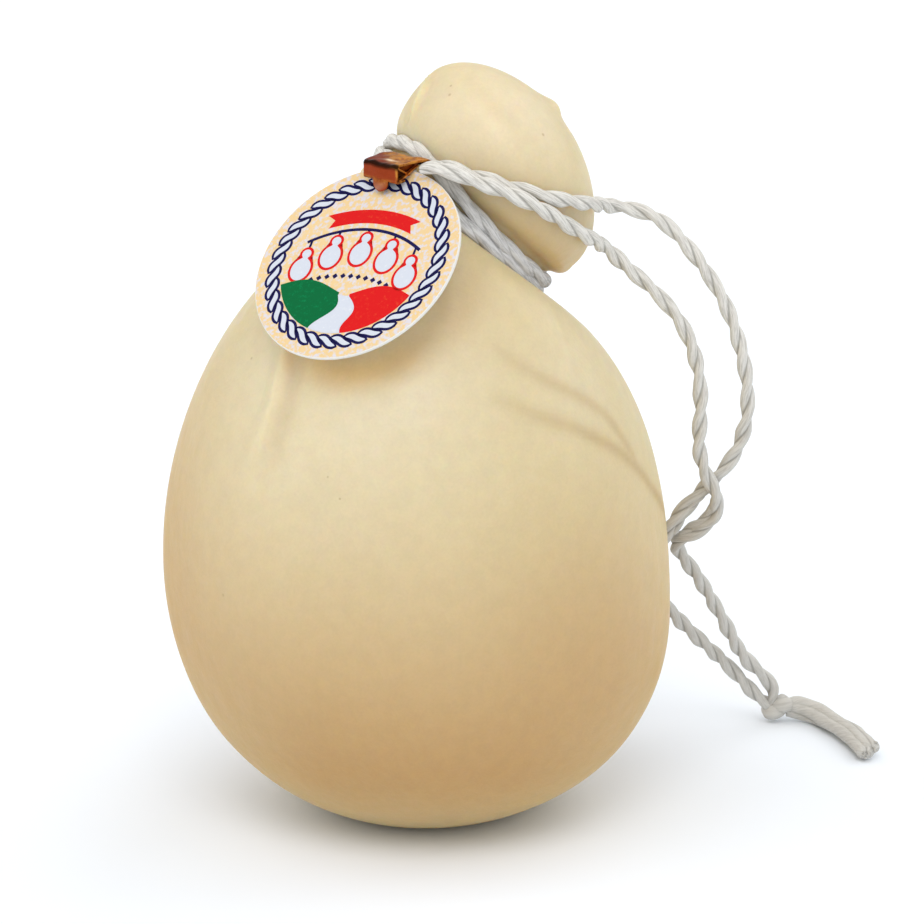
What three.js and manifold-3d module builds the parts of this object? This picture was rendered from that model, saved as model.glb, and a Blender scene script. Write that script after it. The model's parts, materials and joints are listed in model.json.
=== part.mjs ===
// Caciocavallo: a pear-shaped stretched-curd cheese whose head is tied off with white twine,
// with a folded brass clip and a round card tag at the tie.
//
// Units are millimetres and +Z is up. The origin is the middle of the flat spot the cheese
// rests on. The tag is on the front (-Y) and the head leans to the right (+X).

import * as THREE from "three";
import { mergeVertices } from "three/addons/utils/BufferGeometryUtils.js";
import Module from "manifold-3d";

const wasm = await Module();
wasm.setup();

const DEGREE = Math.PI / 180;
// Air left between two pieces that touch.
const GAP = 0.3;

// Body of the cheese. Each side of its outline has its own reach and the height of that reach.
const REST_RADIUS = 20;
const LEFT_REACH = 71.0;
const LEFT_HEIGHT = 72.7;
const RIGHT_REACH = 67.4;
const RIGHT_HEIGHT = 58.0;
// Exponent of the rounded lower half: 2 is an ellipse, more is fuller.
const LOWER_FULLNESS = 2.13;
// Shoulders: how far each side keeps its upright start, then its slope where it meets the tie.
const LEFT_START = 66.8;
const LEFT_END = 15.4;
const LEFT_SLOPE = 75 * DEGREE;
const RIGHT_START = 41.0;
const RIGHT_END = 25.4;
const RIGHT_SLOPE = 32.3 * DEGREE;

// Neck: the groove the twine has drawn in, its tilt to the right and to the back.
const NECK_CENTRE = new THREE.Vector3(10.3, 0, 165.4);
const NECK_RADIUS = 26.2;
const NECK_LEAN = 41.9 * DEGREE;
const NECK_BACK = 11.3 * DEGREE;
const GROOVE_HALF = 4.6;
// Rounded lip between shoulder and groove, outward and along the neck, on each side.
const LIP_LEFT_OUT = 3.0;
const LIP_LEFT_DROP = 2.0;
const LIP_RIGHT_OUT = 6.5;
const LIP_RIGHT_DROP = -3.6;

// Head: a flattened knob, measured along the neck's axis from the neck's centre.
const HEAD_RADIUS = 32.0;
const HEAD_WIDEST = 16.9;
const HEAD_HEIGHT = 37.6;
const HEAD_FULLNESS = 1.91;
const HEAD_SKEW = -1.8;
const HEAD_TILT = 14 * DEGREE;
// Small nub of curd left where the head was folded shut.
const NUB_CENTRE = new THREE.Vector3(36.0, 3.0, 193.5);
const NUB_HEIGHT = 2.2;
const NUB_SPREAD = 4.2;

// Pleats that run down from the tie: a crest with a groove beside it, repeated round the shoulder.
const PLEAT_COUNT = 9;
const PLEAT_FIRST = 231 * DEGREE;
const PLEAT_CREST = 1.1;
const PLEAT_GROOVE = 0.8;
const PLEAT_WIDTH = 3.4 * DEGREE;
// Share of the shoulder left smooth, and each groove's place beside its crest in pleat widths.
const PLEAT_SMOOTH = 0.2;
const PLEAT_GROOVE_SIDE = 1.7;
// How much the pleats differ in height and in spacing, with the rates that vary them.
const PLEAT_UNEVEN = 0.45;
const PLEAT_UNEVEN_RATE = 2.4;
const PLEAT_WANDER = 0.12;
const PLEAT_WANDER_RATE = 5.1;

// Facets round the cheese, and rings in each stretch of it.
const ROUND = 56;
const LOWER_RINGS = 14;
const UPPER_RINGS = 16;
const FLARE_RINGS = 6;
const DOME_RINGS = 12;

// Twine: loose thickness, and the thinner turns drawn tight round the neck.
const TWINE = 4.0;
const TURN = 3.4;
const TURN_LOWER = -0.8;
const TURN_UPPER = 3.2;
const TURN_FACETS = 44;
const TWINE_SIDES = 8;

// Card tag.
const TAG_RADIUS = 29.5;
const TAG_THICKNESS = 1.0;
const TAG_CENTRE = new THREE.Vector3(-16.8, -39.5, 161.6);
const TAG_NORMAL = new THREE.Vector3(-0.419, -0.587, 0.693).normalize();
const TAG_UP = new THREE.Vector3(0.3376, 0.6076, 0.7189).projectOnPlane(TAG_NORMAL).normalize();
const TAG_FACETS = 64;

// Folded clip over the tag's upper edge: its long side follows the tag's edge.
const CLIP_REACH = 28.3;
const CLIP_WIDTH = 11.2;
const CLIP_FRONT = -6.3;
const CLIP_BACK = 4.6;
const CLIP_TOP = 4.1;
const CLIP_FLOOR = -0.9;
const CLIP_SHEET = 0.8;
const CLIP_TURN = 48 * DEGREE;
const CLIP_ROLL = 9 * DEGREE;
const CLIP_FLOOR_END = -2.6;
const CLIP_LIP_DROP = 2.0;
const TONGUE_WIDTH = 4.0;
const TONGUE_DROP = 2.8;
const TONGUE_OFFSET = -0.4;
const TONGUE_FACETS = 6;

// Knot that joins both strands, on the floor behind the cheese.
const KNOT_CENTRE = new THREE.Vector3(102.8, 71.7, 4.6);
const KNOT_LENGTH = 10.4;
const KNOT_WIDTH = 8.8;
const KNOT_HEADING = -8 * DEGREE;
const KNOT_LUMPS = 3;
const KNOT_LUMP_DEPTH = 0.1;
const KNOT_FACETS = 16;
const KNOT_RINGS = 10;

const colours = {
  cheese: 0xe6d3a6,
  twine: 0xe9e6dd,
  card: 0xf3e6cb,
  brass: 0xb06a2e,
};

/** Ring of the loft: its centre, its half-width vector and its half-depth vector. */
function ring(centre, across, depth) {
  return { centre, across, depth };
}

/** Axes of a ring that leans right and back: across, depth and the direction it faces. */
function leaningAxes(lean, back) {
  const across = new THREE.Vector3(Math.cos(lean), 0, -Math.sin(lean));
  const upright = new THREE.Vector3(Math.sin(lean), 0, Math.cos(lean));
  const backward = new THREE.Vector3(0, 1, 0);
  const facing = upright.clone().multiplyScalar(Math.cos(back)).addScaledVector(backward, Math.sin(back));
  const depth = upright.clone().multiplyScalar(-Math.sin(back)).addScaledVector(backward, Math.cos(back));
  return { across, depth, facing };
}

/** One side of the body's lower half at an angle from 0 (resting spot) to 1 (widest). */
function lowerSide(side, reach, height, part) {
  const start = Math.asin((REST_RADIUS / reach) ** (LOWER_FULLNESS / 2));
  const depth = height / (1 - (REST_RADIUS / reach) ** LOWER_FULLNESS) ** (1 / LOWER_FULLNESS);
  const angle = start + (Math.PI / 2 - start) * part;
  const x = side * reach * Math.sin(angle) ** (2 / LOWER_FULLNESS);
  const z = height - depth * Math.max(Math.cos(angle), 0) ** (2 / LOWER_FULLNESS);
  return new THREE.Vector2(x, z);
}

/** One side of the body's upper half, a curve from its widest point to the lip at the neck. */
function upperSide(side, reach, height, start, end, slope, out, drop) {
  const across = new THREE.Vector2(Math.cos(NECK_LEAN), -Math.sin(NECK_LEAN));
  const along = new THREE.Vector2(Math.sin(NECK_LEAN), Math.cos(NECK_LEAN));
  const lip = new THREE.Vector2(NECK_CENTRE.x, NECK_CENTRE.z)
    .addScaledVector(across, side * (NECK_RADIUS + out))
    .addScaledVector(along, -(GROOVE_HALF + drop));
  const widest = new THREE.Vector2(side * reach, height);
  const arrive = new THREE.Vector2(-side * Math.cos(slope), Math.sin(slope));
  return new THREE.CubicBezierCurve(
    widest,
    widest.clone().add(new THREE.Vector2(0, start)),
    lip.clone().addScaledVector(arrive, -end),
    lip,
  );
}

/** Ring between two points of the outline, leaning back by an angle. */
function ringBetween(left, right, back) {
  const half = right.clone().sub(left).multiplyScalar(0.5);
  const centre = left.clone().add(right).multiplyScalar(0.5);
  const lean = Math.atan2(-half.y, half.x);
  const axes = leaningAxes(lean, back);
  const size = half.length();
  return ring(
    new THREE.Vector3(centre.x, 0, centre.y),
    axes.across.multiplyScalar(size),
    axes.depth.multiplyScalar(size),
  );
}

/** All rings of the cheese from the resting spot to the head, with how strongly pleats mark each. */
function cheeseRings() {
  const rings = [];
  for (let i = 0; i < LOWER_RINGS; i += 1) {
    const part = i / (LOWER_RINGS - 1);
    const left = lowerSide(-1, LEFT_REACH, LEFT_HEIGHT, part);
    const right = lowerSide(1, RIGHT_REACH, RIGHT_HEIGHT, part);
    rings.push({ ...ringBetween(left, right, 0), pleat: 0 });
  }
  const leftRail = upperSide(
    -1, LEFT_REACH, LEFT_HEIGHT, LEFT_START, LEFT_END, LEFT_SLOPE, LIP_LEFT_OUT, LIP_LEFT_DROP,
  );
  const rightRail = upperSide(
    1, RIGHT_REACH, RIGHT_HEIGHT, RIGHT_START, RIGHT_END, RIGHT_SLOPE, LIP_RIGHT_OUT, LIP_RIGHT_DROP,
  );
  for (let i = 1; i <= UPPER_RINGS; i += 1) {
    const part = i / UPPER_RINGS;
    const ease = part * part * (3 - 2 * part);
    const marked = Math.max(0, (part - PLEAT_SMOOTH) / (1 - PLEAT_SMOOTH));
    const pleat = Math.sin(Math.PI * marked) ** 2;
    const left = leftRail.getPoint(part);
    const right = rightRail.getPoint(part);
    rings.push({ ...ringBetween(left, right, NECK_BACK * ease), pleat });
  }
  const neck = leaningAxes(NECK_LEAN, NECK_BACK);
  for (const offset of [-GROOVE_HALF, 0, GROOVE_HALF]) {
    rings.push({
      ...ring(
        NECK_CENTRE.clone().addScaledVector(neck.facing, offset),
        neck.across.clone().multiplyScalar(NECK_RADIUS),
        neck.depth.clone().multiplyScalar(NECK_RADIUS),
      ),
      pleat: 0,
    });
  }
  const centre = NECK_CENTRE.clone().addScaledVector(neck.facing, GROOVE_HALF);
  for (let i = 1; i <= FLARE_RINGS; i += 1) {
    const part = i / FLARE_RINGS;
    const middle = leaningAxes(NECK_LEAN + HEAD_TILT * (part - 0.5 / FLARE_RINGS), NECK_BACK);
    centre.addScaledVector(middle.facing, (HEAD_WIDEST - GROOVE_HALF) / FLARE_RINGS);
    centre.addScaledVector(middle.across, HEAD_SKEW / FLARE_RINGS);
    const axes = leaningAxes(NECK_LEAN + HEAD_TILT * part, NECK_BACK);
    const radius = NECK_RADIUS + (HEAD_RADIUS - NECK_RADIUS) * Math.sqrt(1 - (1 - part) ** 2);
    rings.push({
      ...ring(centre.clone(), axes.across.multiplyScalar(radius), axes.depth.multiplyScalar(radius)),
      pleat: 0,
    });
  }
  const top = leaningAxes(NECK_LEAN + HEAD_TILT, NECK_BACK);
  const dome = HEAD_HEIGHT - HEAD_WIDEST;
  for (let i = 1; i <= DOME_RINGS; i += 1) {
    const angle = (i / (DOME_RINGS + 1)) * (Math.PI / 2);
    const radius = HEAD_RADIUS * Math.cos(angle) ** (2 / HEAD_FULLNESS);
    rings.push({
      ...ring(
        centre.clone().addScaledVector(top.facing, dome * Math.sin(angle) ** (2 / HEAD_FULLNESS)),
        top.across.clone().multiplyScalar(radius),
        top.depth.clone().multiplyScalar(radius),
      ),
      pleat: 0,
    });
  }
  return { rings, pole: centre.clone().addScaledVector(top.facing, dome), middle: centre };
}

/** Height of the pleats at an angle round the shoulder. */
function pleatRelief(angle) {
  const widths = (turn) => Math.atan2(Math.sin(turn), Math.cos(turn)) / PLEAT_WIDTH;
  let height = 0;
  for (let k = 0; k < PLEAT_COUNT; k += 1) {
    const share = 1 - PLEAT_UNEVEN + PLEAT_UNEVEN * Math.cos(k * PLEAT_UNEVEN_RATE);
    const wander = PLEAT_WANDER * Math.sin(k * PLEAT_WANDER_RATE);
    const crest = PLEAT_FIRST + (k * 2 * Math.PI) / PLEAT_COUNT + wander;
    const groove = crest + PLEAT_GROOVE_SIDE * PLEAT_WIDTH;
    height += share * PLEAT_CREST * Math.exp(-(widths(angle - crest) ** 2));
    height -= share * PLEAT_GROOVE * Math.exp(-(widths(angle - groove) ** 2));
  }
  return height;
}

/** Point of the cheese with the head's nub raised on it. */
function withNub(point, middle) {
  const lift = NUB_HEIGHT * Math.exp(-point.distanceToSquared(NUB_CENTRE) / (2 * NUB_SPREAD ** 2));
  const outward = point.clone().sub(middle).normalize();
  return point.clone().addScaledVector(outward, lift);
}

/** Closed mesh of the whole cheese. */
function cheeseGeometry() {
  const { rings, pole, middle } = cheeseRings();
  const points = [];
  for (const { centre, across, depth, pleat } of rings) {
    const size = across.length();
    for (let j = 0; j < ROUND; j += 1) {
      const angle = (j / ROUND) * 2 * Math.PI;
      const grow = 1 + (pleat * pleatRelief(angle)) / size;
      const point = centre.clone()
        .addScaledVector(across, grow * Math.cos(angle))
        .addScaledVector(depth, grow * Math.sin(angle));
      points.push(withNub(point, middle));
    }
  }
  const base = points.length;
  points.push(new THREE.Vector3(0, 0, 0));
  points.push(withNub(pole, middle));
  const faces = [];
  const last = (rings.length - 1) * ROUND;
  for (let j = 0; j < ROUND; j += 1) {
    const next = (j + 1) % ROUND;
    faces.push(base, next, j);
    faces.push(base + 1, last + j, last + next);
    for (let i = 0; i < rings.length - 1; i += 1) {
      const low = i * ROUND;
      const high = low + ROUND;
      faces.push(low + j, low + next, high + next);
      faces.push(low + j, high + next, high + j);
    }
  }
  const geometry = new THREE.BufferGeometry().setFromPoints(points);
  geometry.setIndex(faces);
  return geometry;
}

/** Closed turn of twine round the neck at an offset along the neck's axis. */
function turnGeometry(offset) {
  const neck = leaningAxes(NECK_LEAN, NECK_BACK);
  const radius = NECK_RADIUS + TURN / 2 + GAP;
  const geometry = new THREE.TorusGeometry(radius, TURN / 2, TWINE_SIDES, TURN_FACETS);
  const place = new THREE.Matrix4().makeBasis(neck.across, neck.depth, neck.facing);
  place.setPosition(NECK_CENTRE.clone().addScaledVector(neck.facing, offset));
  return geometry.applyMatrix4(place);
}

/** Round tube along a smooth route through hand-chosen points. */
function tubeGeometry(route, diameter, steps) {
  const section = new THREE.Shape();
  for (let k = 0; k < TWINE_SIDES; k += 1) {
    const angle = (k / TWINE_SIDES) * 2 * Math.PI;
    const x = (diameter / 2) * Math.cos(angle);
    const y = (diameter / 2) * Math.sin(angle);
    if (k === 0) {
      section.moveTo(x, y);
    } else {
      section.lineTo(x, y);
    }
  }
  section.closePath();
  const path = new THREE.CatmullRomCurve3(route, false, "centripetal");
  return new THREE.ExtrudeGeometry(section, { steps, extrudePath: path, bevelEnabled: false });
}

/** Three.js geometry as a manifold solid. */
function toSolid(geometry) {
  const plain = new THREE.BufferGeometry();
  plain.setAttribute("position", geometry.getAttribute("position"));
  if (geometry.index) {
    plain.setIndex(geometry.index);
  }
  const merged = mergeVertices(plain, 1e-4);
  return new wasm.Manifold(new wasm.Mesh({
    numProp: 3,
    vertProperties: new Float32Array(merged.getAttribute("position").array),
    triVerts: new Uint32Array(merged.index.array),
  }));
}

/** Manifold solid as a three.js geometry. */
function toGeometry(solid) {
  const mesh = solid.getMesh();
  const geometry = new THREE.BufferGeometry();
  geometry.setAttribute("position", new THREE.BufferAttribute(new Float32Array(mesh.vertProperties), 3));
  geometry.setIndex(new THREE.BufferAttribute(new Uint32Array(mesh.triVerts), 1));
  return geometry;
}

/** Round card, its axis along the tag's normal. */
function tagGeometry() {
  const geometry = new THREE.CylinderGeometry(TAG_RADIUS, TAG_RADIUS, TAG_THICKNESS, TAG_FACETS);
  const side = new THREE.Vector3().crossVectors(TAG_UP, TAG_NORMAL);
  const place = new THREE.Matrix4().makeBasis(side, TAG_NORMAL, TAG_UP.clone().negate());
  place.setPosition(TAG_CENTRE);
  return geometry.applyMatrix4(place);
}

/** Axes of the clip: along its width, toward its back and toward its top, and its origin. */
function clipFrame() {
  const side = new THREE.Vector3().crossVectors(TAG_UP, TAG_NORMAL);
  const width = side.clone().applyAxisAngle(TAG_NORMAL, -CLIP_ROLL);
  const rise = TAG_UP.clone().applyAxisAngle(TAG_NORMAL, -CLIP_ROLL);
  const back = TAG_NORMAL.clone().multiplyScalar(-Math.cos(CLIP_TURN))
    .addScaledVector(rise, Math.sin(CLIP_TURN));
  const top = TAG_NORMAL.clone().multiplyScalar(Math.sin(CLIP_TURN))
    .addScaledVector(rise, Math.cos(CLIP_TURN));
  const origin = TAG_CENTRE.clone().addScaledVector(TAG_UP, CLIP_REACH);
  return { width, back, top, origin };
}

/** Folded clip: a strip bent round the tag's upper edge, with a round tongue at its front. */
function clipGeometry() {
  const strip = new THREE.Shape();
  strip.moveTo(CLIP_FRONT, CLIP_FLOOR);
  strip.lineTo(CLIP_FLOOR_END, CLIP_FLOOR);
  strip.lineTo(CLIP_FLOOR_END, CLIP_FLOOR + CLIP_SHEET);
  strip.lineTo(CLIP_FRONT + CLIP_SHEET, CLIP_FLOOR + CLIP_SHEET);
  strip.lineTo(CLIP_FRONT + CLIP_SHEET, CLIP_TOP - CLIP_SHEET);
  strip.lineTo(CLIP_BACK - CLIP_SHEET, CLIP_TOP - CLIP_SHEET);
  strip.lineTo(CLIP_BACK - CLIP_SHEET, CLIP_TOP - CLIP_LIP_DROP);
  strip.lineTo(CLIP_BACK, CLIP_TOP - CLIP_LIP_DROP);
  strip.lineTo(CLIP_BACK, CLIP_TOP);
  strip.lineTo(CLIP_FRONT, CLIP_TOP);
  strip.closePath();
  const channel = new THREE.ExtrudeGeometry(strip, { depth: CLIP_WIDTH, bevelEnabled: false });
  channel.translate(0, 0, -CLIP_WIDTH / 2);

  const half = TONGUE_WIDTH / 2;
  const tongue = new THREE.Shape();
  tongue.moveTo(-half, CLIP_SHEET / 2);
  tongue.lineTo(-half, half - TONGUE_DROP);
  tongue.absarc(0, half - TONGUE_DROP, half, Math.PI, 2 * Math.PI, false);
  tongue.lineTo(half, CLIP_SHEET / 2);
  tongue.closePath();
  const tab = new THREE.ExtrudeGeometry(tongue, {
    depth: CLIP_SHEET, bevelEnabled: false, curveSegments: TONGUE_FACETS,
  });
  const turn = new THREE.Matrix4().makeBasis(
    new THREE.Vector3(0, 0, 1), new THREE.Vector3(0, 1, 0), new THREE.Vector3(-1, 0, 0),
  );
  turn.setPosition(CLIP_FRONT + CLIP_SHEET, CLIP_FLOOR, TONGUE_OFFSET);
  tab.applyMatrix4(turn);

  const geometry = toGeometry(toSolid(channel).add(toSolid(tab)));
  const frame = clipFrame();
  const place = new THREE.Matrix4().makeBasis(frame.back, frame.top, frame.width);
  place.setPosition(frame.origin);
  return geometry.applyMatrix4(place);
}

/** Knot of both strands: a lumpy rounded solid along its heading. */
function knotGeometry() {
  const geometry = new THREE.SphereGeometry(1, KNOT_FACETS, KNOT_RINGS);
  const position = geometry.getAttribute("position");
  const point = new THREE.Vector3();
  for (let i = 0; i < position.count; i += 1) {
    point.fromBufferAttribute(position, i);
    const swell = KNOT_LUMP_DEPTH * Math.cos(KNOT_LUMPS * Math.atan2(point.z, point.y));
    const lump = 1 - swell * (1 - point.x ** 2);
    point.set(
      (point.x * KNOT_LENGTH) / 2,
      (point.y * lump * KNOT_WIDTH) / 2,
      (point.z * lump * KNOT_WIDTH) / 2,
    );
    position.setXYZ(i, point.x, point.y, point.z);
  }
  const place = new THREE.Matrix4().makeRotationZ(KNOT_HEADING);
  place.setPosition(KNOT_CENTRE);
  return geometry.applyMatrix4(place);
}

/** Named mesh with a plain material. */
function part(name, geometry, colour, roughness, metalness = 0) {
  const material = new THREE.MeshStandardMaterial({ color: colour, roughness, metalness });
  const mesh = new THREE.Mesh(geometry, material);
  mesh.name = name;
  return mesh;
}

const at = (x, y, z) => new THREE.Vector3(x, y, z);

// Routes of the free twine, from the clip over the head, down to the body's right side, and on to
// the knot. Strand A passes behind strand B below the loop that they hang in.
const ROUTE_A = [
  at(-0.3, -24.8, 183.8), at(4.5, -27.1, 184.7), at(13.6, -29.5, 182.5), at(22.7, -31.0, 179.9),
  at(31.8, -29.4, 177.1), at(39.8, -23.9, 174.5), at(44.6, -17.7, 172.7), at(50.2, -4.0, 169.3),
  at(55.6, -1.0, 167.9), at(62.7, 0, 165.0), at(69.2, 2.0, 158.8), at(75.6, 3.0, 150.4),
  at(81.0, 5.0, 141.1), at(85.3, 7.0, 129.5), at(87.9, 10.0, 116.8), at(88.0, 13.0, 106.1),
  at(85.6, 16.0, 96.6), at(81.7, 18.0, 90.0), at(77.7, 20.0, 85.5), at(73.5, 22.0, 80.3),
  at(69.2, 24.0, 74.6), at(65.9, 28.0, 66.2), at(64.8, 33.0, 56.0), at(66.9, 40.0, 46.5),
  at(71.4, 48.0, 39.0), at(78.7, 55.0, 30.0), at(87.4, 62.0, 19.9), at(97.6, 69.0, 7.4),
];
const ROUTE_B = [
  at(-3.1, -28.2, 183.5), at(4.6, -32.2, 184.9), at(13.6, -34.3, 182.1), at(22.2, -35.3, 179.2),
  at(27.9, -34.3, 176.3), at(33.7, -30.2, 172.3), at(39.6, -23.5, 167.2), at(43.9, -17.3, 163.5),
  at(49.2, -5.0, 157.6), at(55.2, -2.0, 151.5), at(62.4, 0, 144.7), at(68.7, 2.0, 136.8),
  at(72.7, 4.0, 128.0), at(74.9, 7.0, 117.5), at(75.2, 9.0, 107.7), at(75.1, 11.0, 99.3),
  at(76.7, 13.0, 92.2), at(79.3, 14.5, 86.4), at(80.7, 18.0, 81.4), at(79.7, 22.0, 75.4),
  at(74.9, 25.0, 70.5), at(70.4, 30.0, 66.8), at(71.3, 35.0, 62.4), at(76.8, 41.0, 53.3),
  at(84.0, 50.0, 39.3), at(91.1, 59.0, 24.5), at(100.8, 69.6, 10.7),
];
const ROUTE_TAIL_A = [
  at(108.9, 70.6, 2.2), at(112.2, 67.6, 2.1), at(116.1, 60.2, 2.1), at(120.5, 50.2, 2.1),
  at(123.0, 40.4, 2.1), at(124.5, 34.2, 2.1),
];
const ROUTE_TAIL_B = [
  at(108.9, 72.9, 5.9), at(115.1, 69.8, 4.6), at(119.5, 62.0, 4.1), at(123.9, 52.0, 4.1),
  at(126.4, 42.2, 4.1), at(127.9, 36.0, 4.1),
];
const STRAND_STEPS = 30;
const TAIL_STEPS = 6;

const object = new THREE.Group();
object.name = "caciocavallo";
object.add(part("cheese", cheeseGeometry(), colours.cheese, 0.45));
object.add(part("neck_turn_lower", turnGeometry(TURN_LOWER), colours.twine, 0.9));
object.add(part("neck_turn_upper", turnGeometry(TURN_UPPER), colours.twine, 0.9));
object.add(part("tag", tagGeometry(), colours.card, 0.7));
object.add(part("clip", clipGeometry(), colours.brass, 0.35, 1));
object.add(part("twine_a", tubeGeometry(ROUTE_A, TWINE, STRAND_STEPS), colours.twine, 0.9));
object.add(part("twine_b", tubeGeometry(ROUTE_B, TWINE, STRAND_STEPS), colours.twine, 0.9));
object.add(part("knot", knotGeometry(), colours.twine, 0.9));
object.add(part("tail_a", tubeGeometry(ROUTE_TAIL_A, TWINE, TAIL_STEPS), colours.twine, 0.9));
object.add(part("tail_b", tubeGeometry(ROUTE_TAIL_B, TWINE, TAIL_STEPS), colours.twine, 0.9));

export default object;
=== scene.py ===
"""Caciocavallo dressed for its portrait.

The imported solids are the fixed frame. This script puts finished pieces in their place: the cheese
with its rind, two-ply twine with a knot, a printed card tag and a folded brass clip. Sizes are in
millimetres and become metres where a mesh is made.
"""

import json
import logging
import math
from collections.abc import Sequence
from dataclasses import dataclass, field, replace
from enum import Enum
from typing import Any

import bpy
import numpy as np
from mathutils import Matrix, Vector

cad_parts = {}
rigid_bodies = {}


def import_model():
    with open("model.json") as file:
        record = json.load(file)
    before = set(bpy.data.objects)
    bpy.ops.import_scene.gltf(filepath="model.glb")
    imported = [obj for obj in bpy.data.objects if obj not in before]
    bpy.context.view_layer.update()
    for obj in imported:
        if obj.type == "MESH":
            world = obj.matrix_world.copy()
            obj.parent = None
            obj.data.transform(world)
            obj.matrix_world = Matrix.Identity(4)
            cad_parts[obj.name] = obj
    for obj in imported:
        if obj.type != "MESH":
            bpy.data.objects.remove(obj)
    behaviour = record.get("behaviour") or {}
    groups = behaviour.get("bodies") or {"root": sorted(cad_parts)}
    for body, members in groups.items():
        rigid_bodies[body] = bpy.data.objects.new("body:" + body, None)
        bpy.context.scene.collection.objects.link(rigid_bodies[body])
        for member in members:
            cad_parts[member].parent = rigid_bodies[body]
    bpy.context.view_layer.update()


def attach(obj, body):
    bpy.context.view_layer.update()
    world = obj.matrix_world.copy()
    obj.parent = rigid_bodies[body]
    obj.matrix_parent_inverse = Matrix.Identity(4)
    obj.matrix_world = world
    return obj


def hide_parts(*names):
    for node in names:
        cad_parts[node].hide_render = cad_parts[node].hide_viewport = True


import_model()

MM = 0.001
TAU = 2 * math.pi
ROOT = "root"
LOG = logging.getLogger("caciocavallo")
CURVE_STEPS = 24
BEVEL_SEGMENTS = 2
BEVEL_ANGLE = math.radians(40)

Span = tuple[float, float]
Triple = tuple[float, float, float]
Rgba = tuple[float, float, float, float]
Socket = bpy.types.NodeSocket


class Slot(Enum):
    """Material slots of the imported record."""

    RIND = "rind"
    TWINE = "twine"
    CARD = "card"
    CLIP = "clip"


class Field(Enum):
    """Socket kinds of a recipe's named inputs."""

    NUMBER = "NodeSocketFloat"
    MATERIAL = "NodeSocketMaterial"
    GEOMETRY = "NodeSocketGeometry"


def linear(red: float, green: float, blue: float) -> Rgba:
    """Linear colour of an eight-bit display colour.

    Args:
        red, green, blue: Display values from 0 to 255.

    Returns:
        Linear red, green, blue and an alpha of one.
    """
    shares = (value / 255 for value in (red, green, blue))
    curve = [v / 12.92 if v <= 0.04045 else ((v + 0.055) / 1.055) ** 2.4 for v in shares]
    return (*curve, 1.0)


def unit(vector: Sequence[float]) -> np.ndarray:
    """Vector of length one along another."""
    array = np.asarray(vector, float)
    return array / np.linalg.norm(array)


def smoothstep(value: np.ndarray | float, low: float, high: float) -> np.ndarray:
    """Smooth rise from 0 at low to 1 at high."""
    part = np.clip((np.asarray(value, float) - low) / (high - low), 0, 1)
    return part * part * (3 - 2 * part)


def fall(value: np.ndarray | float, low: float, high: float) -> np.ndarray:
    """Smooth fall from 1 at low to 0 at high."""
    return smoothstep(-np.asarray(value, float), -high, -low)


def even_steps(points: np.ndarray, step: float) -> np.ndarray:
    """Points spaced evenly along a line.

    Args:
        points: Corners of the line.
        step: Wanted spacing.

    Returns:
        The line's points, its ends among them.
    """
    reach = np.r_[0, np.cumsum(np.linalg.norm(np.diff(points, axis=0), axis=1))]
    count = max(2, round(reach[-1] / step) + 1)
    stops = np.linspace(0, reach[-1], count)
    columns = [np.interp(stops, reach, points[:, axis]) for axis in range(points.shape[1])]
    return np.stack(columns, axis=1)


def smooth_route(points: Sequence[Triple], step: float) -> np.ndarray:
    """Evenly spaced points on the centripetal curve through given ones.

    Args:
        points: Points that the curve passes.
        step: Spacing of the result.

    Returns:
        Points along the curve.
    """
    route = np.asarray(points, float)
    wide = np.vstack([2 * route[0] - route[1], route, 2 * route[-1] - route[-2]])
    share = np.linspace(0, 1, CURVE_STEPS, endpoint=False)[:, None]
    stretches = []
    for before, start, end, after in zip(wide[:-3], wide[1:-2], wide[2:-1], wide[3:]):
        first, middle, last = (
            math.sqrt(np.linalg.norm(b - a)) for a, b in ((before, start), (start, end), (end, after))
        )
        leave = (start - before) / first - (end - before) / (first + middle) + (end - start) / middle
        arrive = (end - start) / middle - (after - start) / (middle + last) + (after - end) / last
        leave, arrive = leave * middle, arrive * middle
        square = 3 * (end - start) - 2 * leave - arrive
        cube = 2 * (start - end) + leave + arrive
        stretches.append(start + leave * share + square * share**2 + cube * share**3)
    return even_steps(np.vstack([*stretches, route[-1:]]), step)


def route_length(points: np.ndarray) -> float:
    """Length of a line through points."""
    return float(np.linalg.norm(np.diff(points, axis=0), axis=1).sum())


def new_piece(
    name: str, points: np.ndarray, faces: Sequence[Sequence[int]], edges: Sequence[Sequence[int]] = ()
) -> bpy.types.Object:
    """Smooth-shaded mesh object.

    Args:
        name: Name of the piece.
        points: Corners in millimetres.
        faces: Corner numbers of each face.
        edges: Corner numbers of each loose edge.

    Returns:
        The object, linked to the scene.
    """
    mesh = bpy.data.meshes.new(name)
    mesh.from_pydata((np.asarray(points) * MM).tolist(), list(edges), [list(face) for face in faces])
    mesh.shade_smooth()
    mesh.update()
    piece = bpy.data.objects.new(name, mesh)
    bpy.context.scene.collection.objects.link(piece)
    return piece


def made_plain(piece: bpy.types.Object) -> bpy.types.Object:
    """Piece whose modifiers' result is kept as its own mesh."""
    scene = bpy.context.evaluated_depsgraph_get()
    mesh = bpy.data.meshes.new_from_object(piece.evaluated_get(scene))
    piece.modifiers.clear()
    piece.data = mesh
    mesh.name = piece.name
    return piece


def beveled(piece: bpy.types.Object, width: float) -> bpy.types.Object:
    """Piece with its sharp edges rounded by a width in millimetres."""
    modifier = piece.modifiers.new("soft_edges", "BEVEL")
    modifier.width = width * MM
    modifier.segments = BEVEL_SEGMENTS
    modifier.limit_method = "ANGLE"
    modifier.angle_limit = BEVEL_ANGLE
    return made_plain(piece)


def keep_fields(piece: bpy.types.Object, fields: dict[str, np.ndarray]) -> None:
    """Keeps named numbers on the points of a piece, for its finish to read."""
    for name, values in fields.items():
        piece.data.attributes.new(name, "FLOAT", "POINT").data.foreach_set("value", values)


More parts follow.
